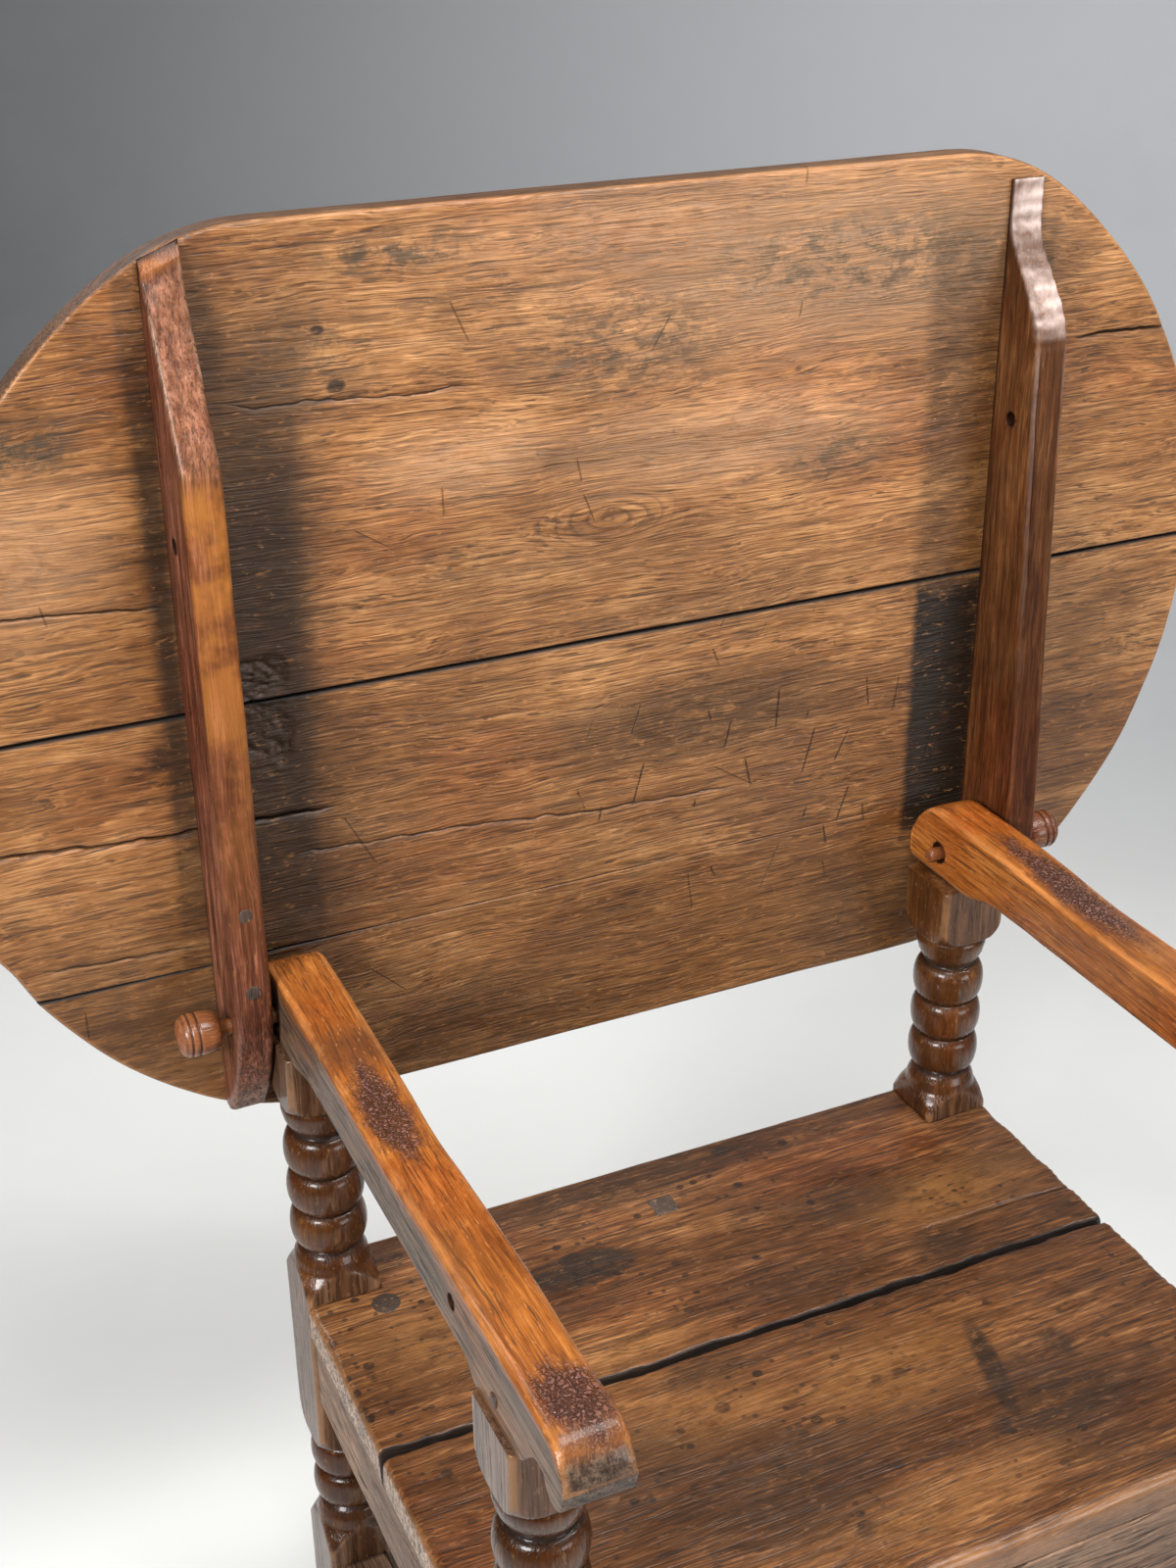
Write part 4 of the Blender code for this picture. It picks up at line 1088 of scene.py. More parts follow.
def makeTopBoard(name, spec):
    board = spec["boards"][name]
    low, high = board["low"], board["high"]
    cracks = []
    for crack in board["cracks"]:
        cracks.append((crack, float(np.mean([z for _, z in crack["line"]])) - topMiddleZ))
    share, plain = np.meshgrid(*topGrid(board, cracks, spec), indexing="ij")
    reach, upright = reachAt(plain, spec)
    reach = reach - 0.0009 * (1 + waver(plain * 24, np.sign(share), 5.0))
    x = share * reach
    height = plain
    soil = np.zeros(x.shape)
    hollow = np.zeros(x.shape)
    for crack, row in cracks:        # mesh lines are drawn over to the crack, then it is sunk
        start, end = crack["line"][0][0], crack["line"][-1][0]
        shift = crackLine(crack, np.clip(x, start, end)) - topMiddleZ - row
        height = height + shift * hump(plain, row, 0.016) * between(x, start - 0.06, start, end, end + 0.06)
        line = hump(plain, row, crack["width"]) * between(x, start, start + 0.03, end - 0.03, end)
        hollow += crack["depth"] * line
        soil = np.maximum(soil, line)
    z = topMiddleZ + height
    rimDistance = np.minimum(spec["halfWidth"] - np.abs(plain), (reach - np.abs(x)) * upright)
    jointDistance = np.full(x.shape, 1.0)
    if low > -spec["halfWidth"]:
        jointDistance = np.minimum(jointDistance, plain - low)
    if high < spec["halfWidth"]:
        jointDistance = np.minimum(jointDistance, high - plain)
    for (tornX, tornZ), (sizeX, sizeZ) in spec["torn"]:
        ragged = np.hypot((x - tornX) / sizeX, (z - tornZ) / sizeZ) + 0.35 * waverDeep(x * 90, 1.0, z * 90)
        mask = 1 - smoothStep(ragged, 0.7, 1.15)
        chips = 0.35 + 0.9 * np.abs(waverDeep(x * 190, 4.0, z * 260))
        hollow += spec["tornDepth"] * mask * chips
        soil = np.maximum(soil, mask * np.clip(0.8 - 1.1 * chips, 0.0, 0.5))
    tight = np.ones(x.shape)         # the lowest joint closes towards the right
    if name != "upper":
        lowSide = plain < spec["boards"]["middle"]["low"] + 0.02
        tight = np.where(lowSide, 1 - spec["tight"] * smoothStep(x, *spec["tightFrom"]), 1.0)
    edgeDrop = softEdge(rimDistance, spec["rim"] * (1 + 0.25 * waver(x * 14, height * 14, 2.0)))
    jointDrop = softEdge(jointDistance, spec["jointRound"])
    dents = dented(x, 1.0, z, spec["dents"])         # with the middle numbers as seeds
    backDents = dented(x, 1.0, z, spec["backDents"])
    frontDrop = edgeDrop + tight * jointDrop + hollow + np.maximum(dents, -0.0004) + 0.0004
    backDrop = edgeDrop + jointDrop + np.maximum(backDents, -0.0003) + 0.0003
    inside = smoothStep(rimDistance, 0.0, 0.004)
    faceY = topFaceY + frontDrop * (0.3 + 0.7 * inside) + edgeDrop * 0.7 * (1 - inside)
    front = np.stack([x, faceY, z], -1)
    back = np.stack([x, topFaceY + topThick - backDrop, z], -1)
    # a thin pale line along the front arris, partly wear and partly painted highlight; the rim itself is
    # painted darker
    wear = between(rimDistance, 0.0002, 0.0009, 0.0014, 0.0034)
    soil = np.maximum(soil, 0.62 * (1 - smoothStep(rimDistance, 0.0, 0.0008)))
    if name == "middle":     # painted highlight: a glint along the arris just below the main joint
        paintedJointGlint = hump(high - plain, 0.0026, 0.0010) * smoothStep(waver(x * 12, 0.0, 3.0), -0.5, 0.3)
        wear = np.maximum(wear, paintedJointGlint)
    soil = np.maximum(soil, 0.95 * tight * (1 - smoothStep(jointDistance, 0.0004, 0.0018)))
    tints = {"wear": wear, "soil": np.clip(soil, 0, 1)}
    mesh = plateMesh("top_board_" + name + "_worn", front, back, tints, levels=6)
    addPiece(mesh, "tilting_top", "top_board_" + name, "goldenBoardOak")


for boardName in topSpec["boards"]:
    makeTopBoard(boardName, topSpec)
print("top boards made")


# Battens: left one straight and tapered, right one ending in an ogee with gouge ripples

lockHole = {"reach": 0.33945, "rise": 0.01488, "radius": 0.005}      # measured from the pivot
battenSpec = {
    "inner": 0.2936, "outer": 0.3196, "low": -0.08715, "high": 0.505, "heelStart": 0.020, "heelDepth": 0.012,
    "tipDepth": 0.004, "rimSlope": 0.38, "back": topFaceY - 0.0003, "step": 0.0022, "arris": 0.0034,
    "backArris": 0.0004, "facetDepth": 0.0062, "facetFall": 0.0054, "pivotRadius": 0.0058,
    "drilled": (0.285, 0.33), "settle": -0.0004, "dents": [(0.0005, (35, 35, 10)), (0.00022, (120, 120, 26))],
    "sides": {       # spans are heights above the pivot
        "left": {
            "side": -1, "depthLow": 0.060, "depthHigh": 0.057, "taper": 0.1134, "ogee": False,
            "bevel": 0.0085, "edgeWear": 1.0, "faceWear": 0.9, "heelDry": 0.6, "finish": "redBattenOak",
            "thinned": (0.37, 0.40, 0.500, 0.506),
        },
        "right": {
            "side": 1, "depthLow": 0.0648, "depthHigh": 0.0468, "taper": 0.1052, "ogee": True,
            "bevel": 0.0, "edgeWear": 0.22, "faceWear": 0.0, "heelDry": 0.1, "finish": "brownBattenOak",
            "ripple": {"from": (0.385, 0.40), "length": 0.0105, "height": 0.0003, "silver": (0.396, 0.412)},
            "split": {
                "in": 0.0035, "stray": 0.0012, "width": 0.0008, "depth": 0.0022,
                "span": (0.20, 0.24, 0.38, 0.41),
            },
            "grime": 0.60, "cleanFrom": (0.26, 0.34),
        },
    },
}


def battenDepth(v, spec, own):       # how far it stands off the boards, this far above the pivot
    heel = np.clip((spec["heelStart"] - v) / (spec["heelStart"] - spec["low"]), 0, 1)
    lowPart = own["depthLow"] - (own["depthLow"] - spec["heelDepth"]) * heel ** 1.6
    taperStart = spec["high"] - own["taper"]
    share = np.clip((v - spec["heelStart"]) / (taperStart - spec["heelStart"]), 0, 1)
    middle = own["depthLow"] + (own["depthHigh"] - own["depthLow"]) * share
    t = np.clip((v - taperStart) / own["taper"], 0, 1)
    curve = smoothStep(t, 0.0, 0.76) if own["ogee"] else t
    upper = own["depthHigh"] + (spec["tipDepth"] - own["depthHigh"]) * curve
    return np.where(v < spec["heelStart"], lowPart, np.where(v < taperStart, middle, upper))


def makeBatten(name, spec):
    own = spec["sides"][name]
    side, back = own["side"], spec["back"]
    v = np.linspace(spec["low"], spec["high"], int((spec["high"] - spec["low"]) / spec["step"]))
    depth = battenDepth(v, spec, own)
    slope = np.zeros(v.shape)
    if own["bevel"]:     # a chisel-cut facet at the tip, sloping outward
        facet = np.linspace(0.08, 1.0, 8)
        v = np.concatenate([v, spec["high"] + own["bevel"] * facet])
        tip = spec["facetDepth"] - spec["facetFall"] * facet
        depth = np.concatenate([np.maximum(depth, spec["facetDepth"]), tip])
        slope = spec["rimSlope"] * smoothStep(v, spec["high"] - 0.03, spec["high"])
    low, high = sorted((side * spec["inner"], side * spec["outer"]))
    arris = spec["arris"] * (1.15 + 0.45 * waver(v * 22, side * 3.0, 1.0))
    arris = np.minimum(arris, 0.42 * depth)
    radii = (arris, arris, spec["backArris"], spec["backArris"])
    section = roundedSection(low, high, back - depth, back, radii, side=14, bend=7)
    x, y = section[..., 0], section[..., 1]
    v, depth, slope = v[:, None], depth[:, None], slope[:, None]
    z = pivotZ + v - slope * (np.abs(x) - (spec["inner"] + spec["outer"]) / 2)
    fromBack = (back - y) / depth
    amount = dented(x, y, z, spec["dents"], spec["settle"])
    if own["ogee"]:
        gouge = own["ripple"]
        rippled = smoothStep(v, *gouge["from"]) * smoothStep(fromBack, 0.8, 0.97)
        ripple = np.sin(v * 2 * math.pi / gouge["length"] + 2.0 * waver(v * 30, x * 30, 0.0))
        amount = amount + rippled * gouge["height"] * ripple
    amount = amount * smoothStep(fromBack, 0.02, 0.2)
    cornerX = np.minimum(np.abs(x - low), np.abs(x - high))
    edge = smoothStep(-(cornerX + (y - (back - depth))), -0.0045, -0.0012)
    facing = smoothStep(fromBack, 0.9, 1.0)
    soil = 0.9 * (1 - smoothStep(back - y, 0.0004, 0.0040)) * smoothStep(v, -0.05, 0.0)
    wear = np.maximum(edge * own["edgeWear"], facing * own["faceWear"])
    wear = wear * (0.06 + 0.94 * smoothStep(v, 0.04, 0.36))
    dry = own["heelDry"] * facing * (1 - smoothStep(v, -0.080, -0.045))
    if own["ogee"]:      # an old split, and grime over the whole front; the ogee's crests are painted silver as a painted highlight
        crack = own["split"]
        splitX = spec["inner"] + crack["in"] + crack["stray"] * waver(v * 40, 0.0, 8.0)
        split = hump(x, splitX, crack["width"]) * smoothStep(fromBack, 0.93, 0.99)
        split = split * between(v, *crack["span"])
        amount = amount - crack["depth"] * split
        silver = rippled * smoothStep(v, *gouge["silver"]) * (1 - 0.4 * hump(v, 0.452, 0.016))
        wear = np.maximum(wear, silver * (0.85 + 0.25 * ripple))
        grime = facing * (1 - edge) * (1 - silver) * (1 - 0.7 * smoothStep(v, *own["cleanFrom"]))
        grime = own["grime"] * grime * np.clip(0.85 + 0.4 * waverDeep(x * 60, 0.0, z * 14), 0, 1)
        soil = np.maximum(np.maximum(soil, 0.9 * split), grime)
    else:                # the thinned upper end is dull with a painted sheen, its arrises painted pale, partly chips and partly painted highlight, but not its tip
        thinned = between(v, *own["thinned"])
        wear = wear * (1 - 0.85 * thinned)
        dry = np.maximum(dry, thinned * np.maximum(0.20 * facing, 0.85 * edge))
    rings = pushOut(np.stack([x, y, z], -1), amount)
    mesh = loftMesh("batten_" + name + "_shaped", rings, {"wear": wear, "soil": soil, "dry": dry})
    span = sorted(side * reach for reach in spec["drilled"])
    mesh = drilled(mesh, [
        (pivotY, pivotZ, spec["pivotRadius"], *span),
        (pivotY + lockHole["rise"], pivotZ + lockHole["reach"], lockHole["radius"], *span),
    ])
    addPiece(mesh, "tilting_top", "batten_" + name, own["finish"])


for battenName in battenSpec["sides"]:
    makeBatten(battenName, battenSpec)
print("battens made")


# Arms: round nose at the rear, worn top, cyma notch and drop lobe at the front

armSpec = {
    "inner": 0.248, "outer": 0.289, "top": armTop, "thick": 0.045, "pad": 0.0099, "front": armFront,
    "overhang": 0.0625, "drop": 0.0372, "dip": 0.005, "heel": 0.006, "arris": 0.0046, "underArris": 0.0014,
    "wornHole": 0.0085, "holeWear": 0.0018, "drillPast": 0.01,
    "postFront": postSpec["frontY"], "postRear": postSpec["rearY"], "postHalf": postSpec["half"],
    # Shares of the overhang, and of the thickness where they say rise or drop
    "roll": 0.38, "rollDrop": 0.6, "lobe": 0.18, "lobeStart": 0.03, "lobeRise": 0.033, "lobeRound": 0.9,
    "notch": 0.53, "notchRise": 0.27,
}


def armTopLine(y, spec):
    roll = spec["roll"] * spec["overhang"]
    rollDrop = spec["rollDrop"] * spec["thick"]
    lean = np.clip(1 - (y - spec["front"]) / roll, 0, 1)
    z = spec["top"] - rollDrop * (1 - np.sqrt(1 - lean ** 2))
    dipFront = spec["postFront"] + spec["postHalf"]
    dipRear = pivotY - 0.8 * spec["drop"]
    t = np.clip((y - dipFront) / (dipRear - dipFront), 0, 1)
    z = z - spec["dip"] * np.sin(math.pi * t) ** 2
    nose = np.sqrt(np.maximum(spec["drop"] ** 2 - np.maximum(y - pivotY, 0) ** 2, 0))
    return np.where(y > pivotY, pivotZ + nose, z)


def armUnderLine(y, spec):       # from the tip over the lobe, the notch and both pads to the rear heel
    under = spec["top"] - spec["thick"]
    padUnder = under - spec["pad"]
    lobe = spec["lobe"] * spec["overhang"]
    lobeFront = spec["front"] + spec["lobeStart"] * spec["overhang"]
    lobeBack = lobeFront + 2 * lobe
    lobeUnder = under + spec["lobeRise"] * spec["thick"]
    lobeRim = lobeUnder + spec["lobeRound"] * lobe
    notch = spec["front"] + spec["notch"] * spec["overhang"]
    notchTop = under + spec["notchRise"] * spec["thick"]
    postFace = spec["postFront"] - spec["postHalf"]
    postBack = spec["postFront"] + spec["postHalf"]
    rearPad = spec["postRear"] - spec["postHalf"]
    heelStart = pivotY + spec["drop"] - spec["heel"]
    tip = spec["top"] - spec["rollDrop"] * spec["thick"]
    tipLine = tip + (lobeRim - tip) * np.clip((y - spec["front"]) / (lobeFront - spec["front"]), 0, 1)
    across = np.clip((y - lobeFront - lobe) / lobe, -1, 1)
    lobeLine = lobeUnder + spec["lobeRound"] * lobe * (1 - np.sqrt(1 - across ** 2))
    notchLine = lobeRim + (notchTop - lobeRim) * np.clip((y - lobeBack) / (notch - lobeBack), 0, 1)
    cyma = notchTop + (padUnder - notchTop) * smoothStep(y, notch, postFace)
    rise = padUnder + spec["pad"] * smoothStep(y, postBack, postBack + 0.016)
    fall = under - spec["pad"] * smoothStep(y, rearPad - 0.05, rearPad)
    heelShare = np.clip((y - heelStart) / spec["heel"], 0, 1)
    heelLine = padUnder + spec["heel"] * (1 - np.sqrt(1 - heelShare ** 2))
    z = np.where(y < lobeFront, tipLine, lobeLine)
    middle = np.minimum(rise, fall)
    for start, line in ((lobeBack, notchLine), (notch, cyma), (postBack, middle), (heelStart, heelLine)):
        z = np.where(y > start, line, z)
    return z


def makeArm(sideName, side, spec):
    nose = pivotY + spec["drop"]
    ends = 0.5 * (1 - np.cos(np.linspace(0, math.pi, 70)))
    y = np.array(spaced(np.concatenate([
        spec["front"] + 0.0002 + 0.030 * ends[:35],
        np.linspace(spec["front"] + 0.0155, pivotY - 0.002, 190),
        pivotY + (spec["drop"] - 0.0001) * np.sin(np.linspace(0, quarterTurn, 34)),
    ]), 0.00012))
    top = armTopLine(y, spec)
    under = np.minimum(armUnderLine(y, spec), top - 0.0006)
    low, high = sorted((side * spec["inner"], side * spec["outer"]))
    tall = top - under
    arris = np.minimum(spec["arris"] * (1.1 + 0.4 * waver(y * 20, side * 2.0, 3.0)), 0.40 * tall)
    underArris = np.minimum(spec["underArris"], 0.3 * tall)
    section = roundedSection(low, high, under, top, (underArris, underArris, arris, arris), side=14, bend=7)
    x, z = section[..., 0], section[..., 1]
    y = np.broadcast_to(y[:, None], x.shape)
    top, under = top[:, None], under[:, None]
    upper = smoothStep(z, top - 0.004, top - 0.0005)
    crown = 0.0010 * (((x - (low + high) / 2) / (0.5 * (high - low))) ** 2) * upper
    amount = -0.0003 - crown + 0.0005 * waver(x * 40, y * 12, z * 40) * (1 - 0.4 * upper)
    amount = amount + 0.00020 * waver(x * 130, y * 40, z * 130)
    inside = between(y, spec["front"], spec["front"] + 0.004, nose - 0.003, nose)
    rings = pushOut(np.stack([x, y, z], -1), np.minimum(amount, 0.0) * inside)
    outerSide = smoothStep(x * side, spec["outer"] - 0.0022, spec["outer"] - 0.0008)
    patchy = np.clip(0.85 + 0.35 * waverDeep(x * 30, y * 14, z * 40), 0, 1)
    dry = outerSide * patchy * (1 - smoothStep(z, top - 0.012, top - 0.003))
    dry = np.maximum(dry, (1 - smoothStep(z, under + 0.0005, under + 0.003)) * 0.7)
    frontEnd = 1 - smoothStep(y, spec["front"] + 0.002, spec["front"] + 0.010)
    frontEnd = frontEnd * (1 - smoothStep(z, spec["top"] - 0.014, spec["top"] - 0.006))
    dry = np.maximum(dry, 0.95 * frontEnd)
    cornerX = np.minimum(np.abs(x - low), np.abs(x - high))
    wear = smoothStep(-(cornerX + (top - z)), -0.006, -0.002)
    mesh = loftMesh("arm_" + sideName + "_worn", rings, {"dry": dry, "wear": wear, "soil": 0.25 * frontEnd})
    span = low - spec["drillPast"], high + spec["drillPast"]
    mesh = drilled(mesh, [
        (pivotY - spec["holeWear"], pivotZ + spec["holeWear"], spec["wornHole"], *span),
        (pivotY - lockHole["reach"], pivotZ + lockHole["rise"], lockHole["radius"], *span),
    ])
    addPiece(mesh, "base", "arm_" + sideName, "amberArmOak")


for sideName, side in bothSides:
    makeArm(sideName, side, armSpec)
print("arms made")


# Rails and stretchers

railSpec = {
    "arris": 0.0022, "step": 0.004, "tenon": 0.36 * 2 * postSpec["half"], "settle": -0.0003,
    "dents": [(0.0004, (9, 40, 40)), (0.00015, (30, 160, 160))],
    "moulding": {"share": 0.17, "depth": 0.0022, "width": 0.0022, "soil": 0.7},
    "finish": ("dryRailOakX", "dryRailOakY"),
}


def makeRail(node, spec):
    low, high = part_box(node)
    axis = 0 if node.endswith(("front", "rear")) else 1
    start, end = low[axis] + spec["tenon"], high[axis] - spec["tenon"]
    acrossLow, acrossHigh = low[1 - axis], high[1 - axis]
    s = np.linspace(start, end, int((end - start) / spec["step"]))
    arris = spec["arris"] * (1 + 0.4 * waver(s * 25, low[2] * 30, acrossLow * 40))
    near = np.full(s.shape, acrossLow)
    section = roundedSection(near, acrossHigh, low[2], high[2], [arris] * 4, side=22, bend=5)
    across, z = section[..., 0], section[..., 1]
    along = np.broadcast_to(s[:, None], across.shape)
    rings = np.stack([across, along, z] if axis else [along, across, z], -1)
    amount = dented(along, across, z, spec["dents"], spec["settle"])
    soil = np.zeros(across.shape)
    if node == "rail_front":
        moulding = spec["moulding"]
        middle = low[2] + moulding["share"] * (high[2] - low[2])
        groove = hump(z, middle, moulding["width"]) * (across < acrossLow + 0.002)
        amount = amount - moulding["depth"] * groove
        soil = moulding["soil"] * groove
    rings = pushOut(rings, np.minimum(amount, 0.0))
    addPiece(loftMesh(node + "_planed", rings, {"soil": soil}), "base", node, spec["finish"][axis])


for railKind in ("rail", "stretcher"):
    for railPlace in ("front", "rear", "left", "right"):
        makeRail(railKind + "_" + railPlace, railSpec)
print("rails made")


# Seat boards, notched round the posts, with a ragged joint and a split

seatSpec = {
    "end": 0.292, "notchX": 0.2355, "top": seatTop, "under": seatTop - 0.027, "cell": 0.0030,
    "endRound": 0.0055, "jointRound": 0.0022, "leastGap": 0.0003, "deepest": 0.019, "rippleLength": 0.0075,
    "dents": [(0.0008, (7, 10, 0.0)), (0.00035, (20, 70, 5.0)), (0.0002, (60, 200, 9.0))],
    "boards": {
        "front": {
            "outer": -0.2109, "joint": 0.0209, "notchY": -0.1574, "round": 0.0085, "inward": 1, "seed": 1.0,
        },
        "rear": {
            "outer": 0.2341, "joint": 0.0249, "notchY": 0.1806, "round": 0.0035, "inward": -1, "seed": 6.0,
        },
    },
    "split": {
        "board": "rear", "width": 0.0009, "depth": 0.0050,
        "line": [(0.150, 0.0700), (0.192, 0.0686), (0.240, 0.0672), (0.292, 0.0656)],
    },
}


def pinned(values, fixed, least):        # mesh lines with the nearest ones moved to where they have to be
    values = np.array(spaced(values, least))
    values[0], values[-1] = fixed[0], fixed[-1]
    for place in fixed[1:-1]:
        values[np.argmin(np.abs(values - place))] = place
    return values


def makeSeatBoard(name, spec):
    own = spec["boards"][name]
    outer, joint, notchY, inward = own["outer"], own["joint"], own["notchY"], own["inward"]
    end, notchX = spec["end"], spec["notchX"]
    split = spec["split"]
    isSplit = split["board"] == name
    splitRow = float(np.mean([y for _, y in split["line"]]))
    xs = list(np.arange(-end, end, spec["cell"])) + [-notchX, notchX]
    xs += [side * (end - d) for d in edgeSteps(spec["endRound"]) for side in (-1, 1)]
    yLow, yHigh = sorted((outer, joint))
    ys = list(np.arange(yLow, yHigh, spec["cell"])) + [notchY]
    ys += [outer + inward * d for d in edgeSteps(own["round"])]
    ys += [joint - inward * d for d in edgeSteps(spec["jointRound"])]
    if isSplit:
        ys += [splitRow + split["width"] * step for step in crackRows]
    xs = pinned(xs, (-end, -notchX, notchX, end), spec["leastGap"])
    ys = pinned(ys, (yLow, notchY, yHigh), spec["leastGap"])
    x, plainY = np.meshgrid(xs, ys, indexing="ij")
    midX = (x[:-1, :-1] + x[1:, 1:]) / 2
    midY = (plainY[:-1, :-1] + plainY[1:, 1:]) / 2
    used = ~((np.abs(midX) > notchX) & (inward * midY < inward * notchY))

    raggedJoint = 0.0012 * (1 + waverDeep(x * 45, 2.0, own["seed"])) * hump(plainY, joint, 0.006)
    y = plainY - inward * raggedJoint * np.where(np.abs(plainY - joint) < 0.02, 1, 0)
    soil = np.zeros(x.shape)
    hollow = np.zeros(x.shape)
    if isSplit:          # mesh lines are drawn over to the split, then it is sunk
        lineX, lineY = zip(*split["line"])
        target = np.interp(np.clip(x, lineX[0], lineX[-1]), lineX, lineY) + 0.0006 * waver(x * 80, 0.0, 4.0)
        nearby = hump(plainY, splitRow, 0.014) * smoothStep(x, lineX[0] - 0.05, lineX[0])
        y = y + (target - splitRow) * nearby
        line = hump(plainY, splitRow, split["width"]) * smoothStep(x, lineX[0], lineX[0] + 0.05)
        hollow = split["depth"] * line
        soil = 0.9 * line
    endDistance = end - np.abs(x)
    longDistance = np.abs(plainY - outer)
    jointDistance = np.abs(plainY - joint)
    endRound = spec["endRound"] * (1 + 0.35 * waver(y * 55, np.sign(x) * 3, 8.0))
    noseRound = own["round"] * (1 + 0.2 * waver(x * 16, 12.0, 1.0))
    jointRound = spec["jointRound"] * (1 + 0.5 * waver(x * 30, 1.0, 2.0))
    drop = softEdge(endDistance, endRound) + softEdge(longDistance, noseRound)
    drop = drop + softEdge(jointDistance, jointRound)
    sawn = np.sin(y * 2 * math.pi / spec["rippleLength"] + 2.5 * waver(y * 40, 0.0, 1.0))
    endRipple = 0.0007 * sawn * np.exp(-endDistance / 0.010)
    dents = dented(x, y, 1.0, spec["dents"])         # with the last numbers as seeds
    settle = 0.0006 + np.maximum(dents + endRipple, -0.0006)
    drop = np.minimum(drop + hollow + settle, spec["deepest"])
    front = np.stack([x, y, spec["top"] - drop], -1)
    under = spec["under"] + softEdge(np.minimum(endDistance, longDistance), 0.0015)
    closing = inward * (raggedJoint + 0.0016) * hump(jointDistance, 0.0, 0.004)
    back = np.stack([x, y + closing, under], -1)
    # pale ends and nose: partly wear, partly painted highlight
    wear = 0.9 * between(endDistance, 0.0, 0.001, 0.0015, 0.004)
    wear = np.maximum(1 - smoothStep(longDistance, 0.001, own["round"]), wear)
    soil = np.maximum(soil, 0.95 * (1 - smoothStep(jointDistance, 0.0004, 0.0022)))
    patchy = np.clip(0.9 + 0.4 * waver(x * 40, y * 60, 3.0), 0, 1)
    # pale board ends: partly dry end grain, partly painted highlight
    dry = 0.85 * (1 - smoothStep(endDistance, 0.0, 0.0012)) * patchy
    tints = {"wear": wear, "soil": soil, "dry": dry}
    mesh = plateMesh("seat_board_" + name + "_worn", front, back, tints, used=used)
    addPiece(mesh, "base", "seat_board_" + name, "stainedSeatOak")


for boardName in seatSpec["boards"]:
    makeSeatBoard(boardName, seatSpec)
print("seat made")


# Pins, pegs and plugs

pinSpec = {
    "radius": 0.0055, "knob": 0.015, "knobLength": 0.029, "neck": 0.3276, "inner": 0.240, "groove": 0.0011,
    "sides": 64, "toolMarks": 0.0003, "seed": 40.0,
    "knobStart": [
        (0.0, 0.50), (0.01, 0.66), (0.05, 0.80), (0.12, 0.90), (0.22, 0.965), (0.34, 0.99), (0.46, 1.0)],
    "knobEnd": [(0.80, 0.975), (0.86, 0.925), (0.91, 0.84), (0.95, 0.72), (0.98, 0.52), (1.0, 0.20)],
    "grooves": (0.50, 0.69),
    "grooveShape": [(0.0, 0.0), (0.012, 0.5), (0.025, 1.0), (0.04, 1.0), (0.053, 0.5), (0.065, 0.0)],
    "soil": {"past": 0.013, "least": 0.0135, "below": 0.0004, "amount": 0.55},
}
armPeg = {
    "radius": 0.0045, "length": 0.032, "proud": 0.0008, "y": postSpec["frontY"], "z": 0.6431 + 0.55 * 0.0261,
    "face": armSpec["outer"], "toolMarks": 0.0004, "seed": 50.0,
}
battenPeg = {
    "radius": 0.0055, "length": 0.015, "x": -0.3066, "toolMarks": 0.0004, "seed": 60.0,
    "above": {"batten_peg_left": 0.035, "batten_peg_left_upper": 0.094},
}
plugSpec = {
    "round": (-0.2394, 0.1627, 0.011), "square": (-0.0070, 0.1785, 0.010), "depth": 0.012, "sides": 40,
    "toolMarks": 0.0005, "seed": 70.0, "arris": 0.0012,
    "squareRows": [(-0.012, 0.0), (-0.004, 0.0), (-0.0012, 0.0), (-0.0004, 0.0004), (0.0, 0.0014)],
}


def pinProfile(spec):
    length, radius = spec["neck"] - spec["inner"], spec["radius"]
    knob, reach = spec["knob"], spec["knobLength"]
    rows = [(0.0, radius - 0.0012), (0.0006, radius - 0.0004), (0.0016, radius)]
    rows += [(s, radius) for s in np.linspace(0.004, length - 0.0005, 16)]
    rows += [(length + share * reach, size * knob) for share, size in spec["knobStart"]]
    for start in spec["grooves"]:
        for share, depth in spec["grooveShape"]:
            rows.append((length + (start + share) * reach, knob - depth * spec["groove"]))
    rows += [(length + share * reach, size * knob) for share, size in spec["knobEnd"]]
    return rows


def pinSoil(along, radius, spec):        # dirt in the knob's grooves
    soil = spec["soil"]
    onKnob = along > spec["neck"] - spec["inner"] + soil["past"]
    sunk = soil["least"] < radius < spec["knob"] - soil["below"]
    return soil["amount"] if onKnob and sunk else 0.0


def pegProfile(radius, length):
    rows = [(s, radius) for s in np.linspace(0.0, length - 0.0007, 6)]
    return rows + [(length - 0.0003, radius - 0.0003), (length, radius - 0.0011), (length, 0.4 * radius)]


pinRows = pinProfile(pinSpec)
pinLayers = {"soil": [pinSoil(along, radius, pinSpec) for along, radius in pinRows]}
armPegRows = pegProfile(armPeg["radius"], armPeg["length"] + armPeg["proud"])
for sideName, side in bothSides:
    sideways = (0.0, side * quarterTurn, 0.0)
    mesh = turnPiece(
        "pivot_pin_" + sideName + "_turned", pinRows, "chestnutPinWood",
        (side * pinSpec["inner"], pivotY, pivotZ), pinSpec["seed"] + side, pinSpec["toolMarks"],
        sides=pinSpec["sides"], turn=sideways, layers=pinLayers,
    )
    addPiece(mesh, sideName + "_pivot_pin", "pivot_pin_" + sideName, "chestnutPinWood")
    mesh = turnPiece(
        "arm_peg_" + sideName + "_end", armPegRows, "darkPlugOak",
        (side * (armPeg["face"] - armPeg["length"]), armPeg["y"], armPeg["z"]), armPeg["seed"] + side,
        armPeg["toolMarks"], turn=sideways,
    )
    addPiece(mesh, "base", "arm_peg_" + sideName, "darkPlugOak")

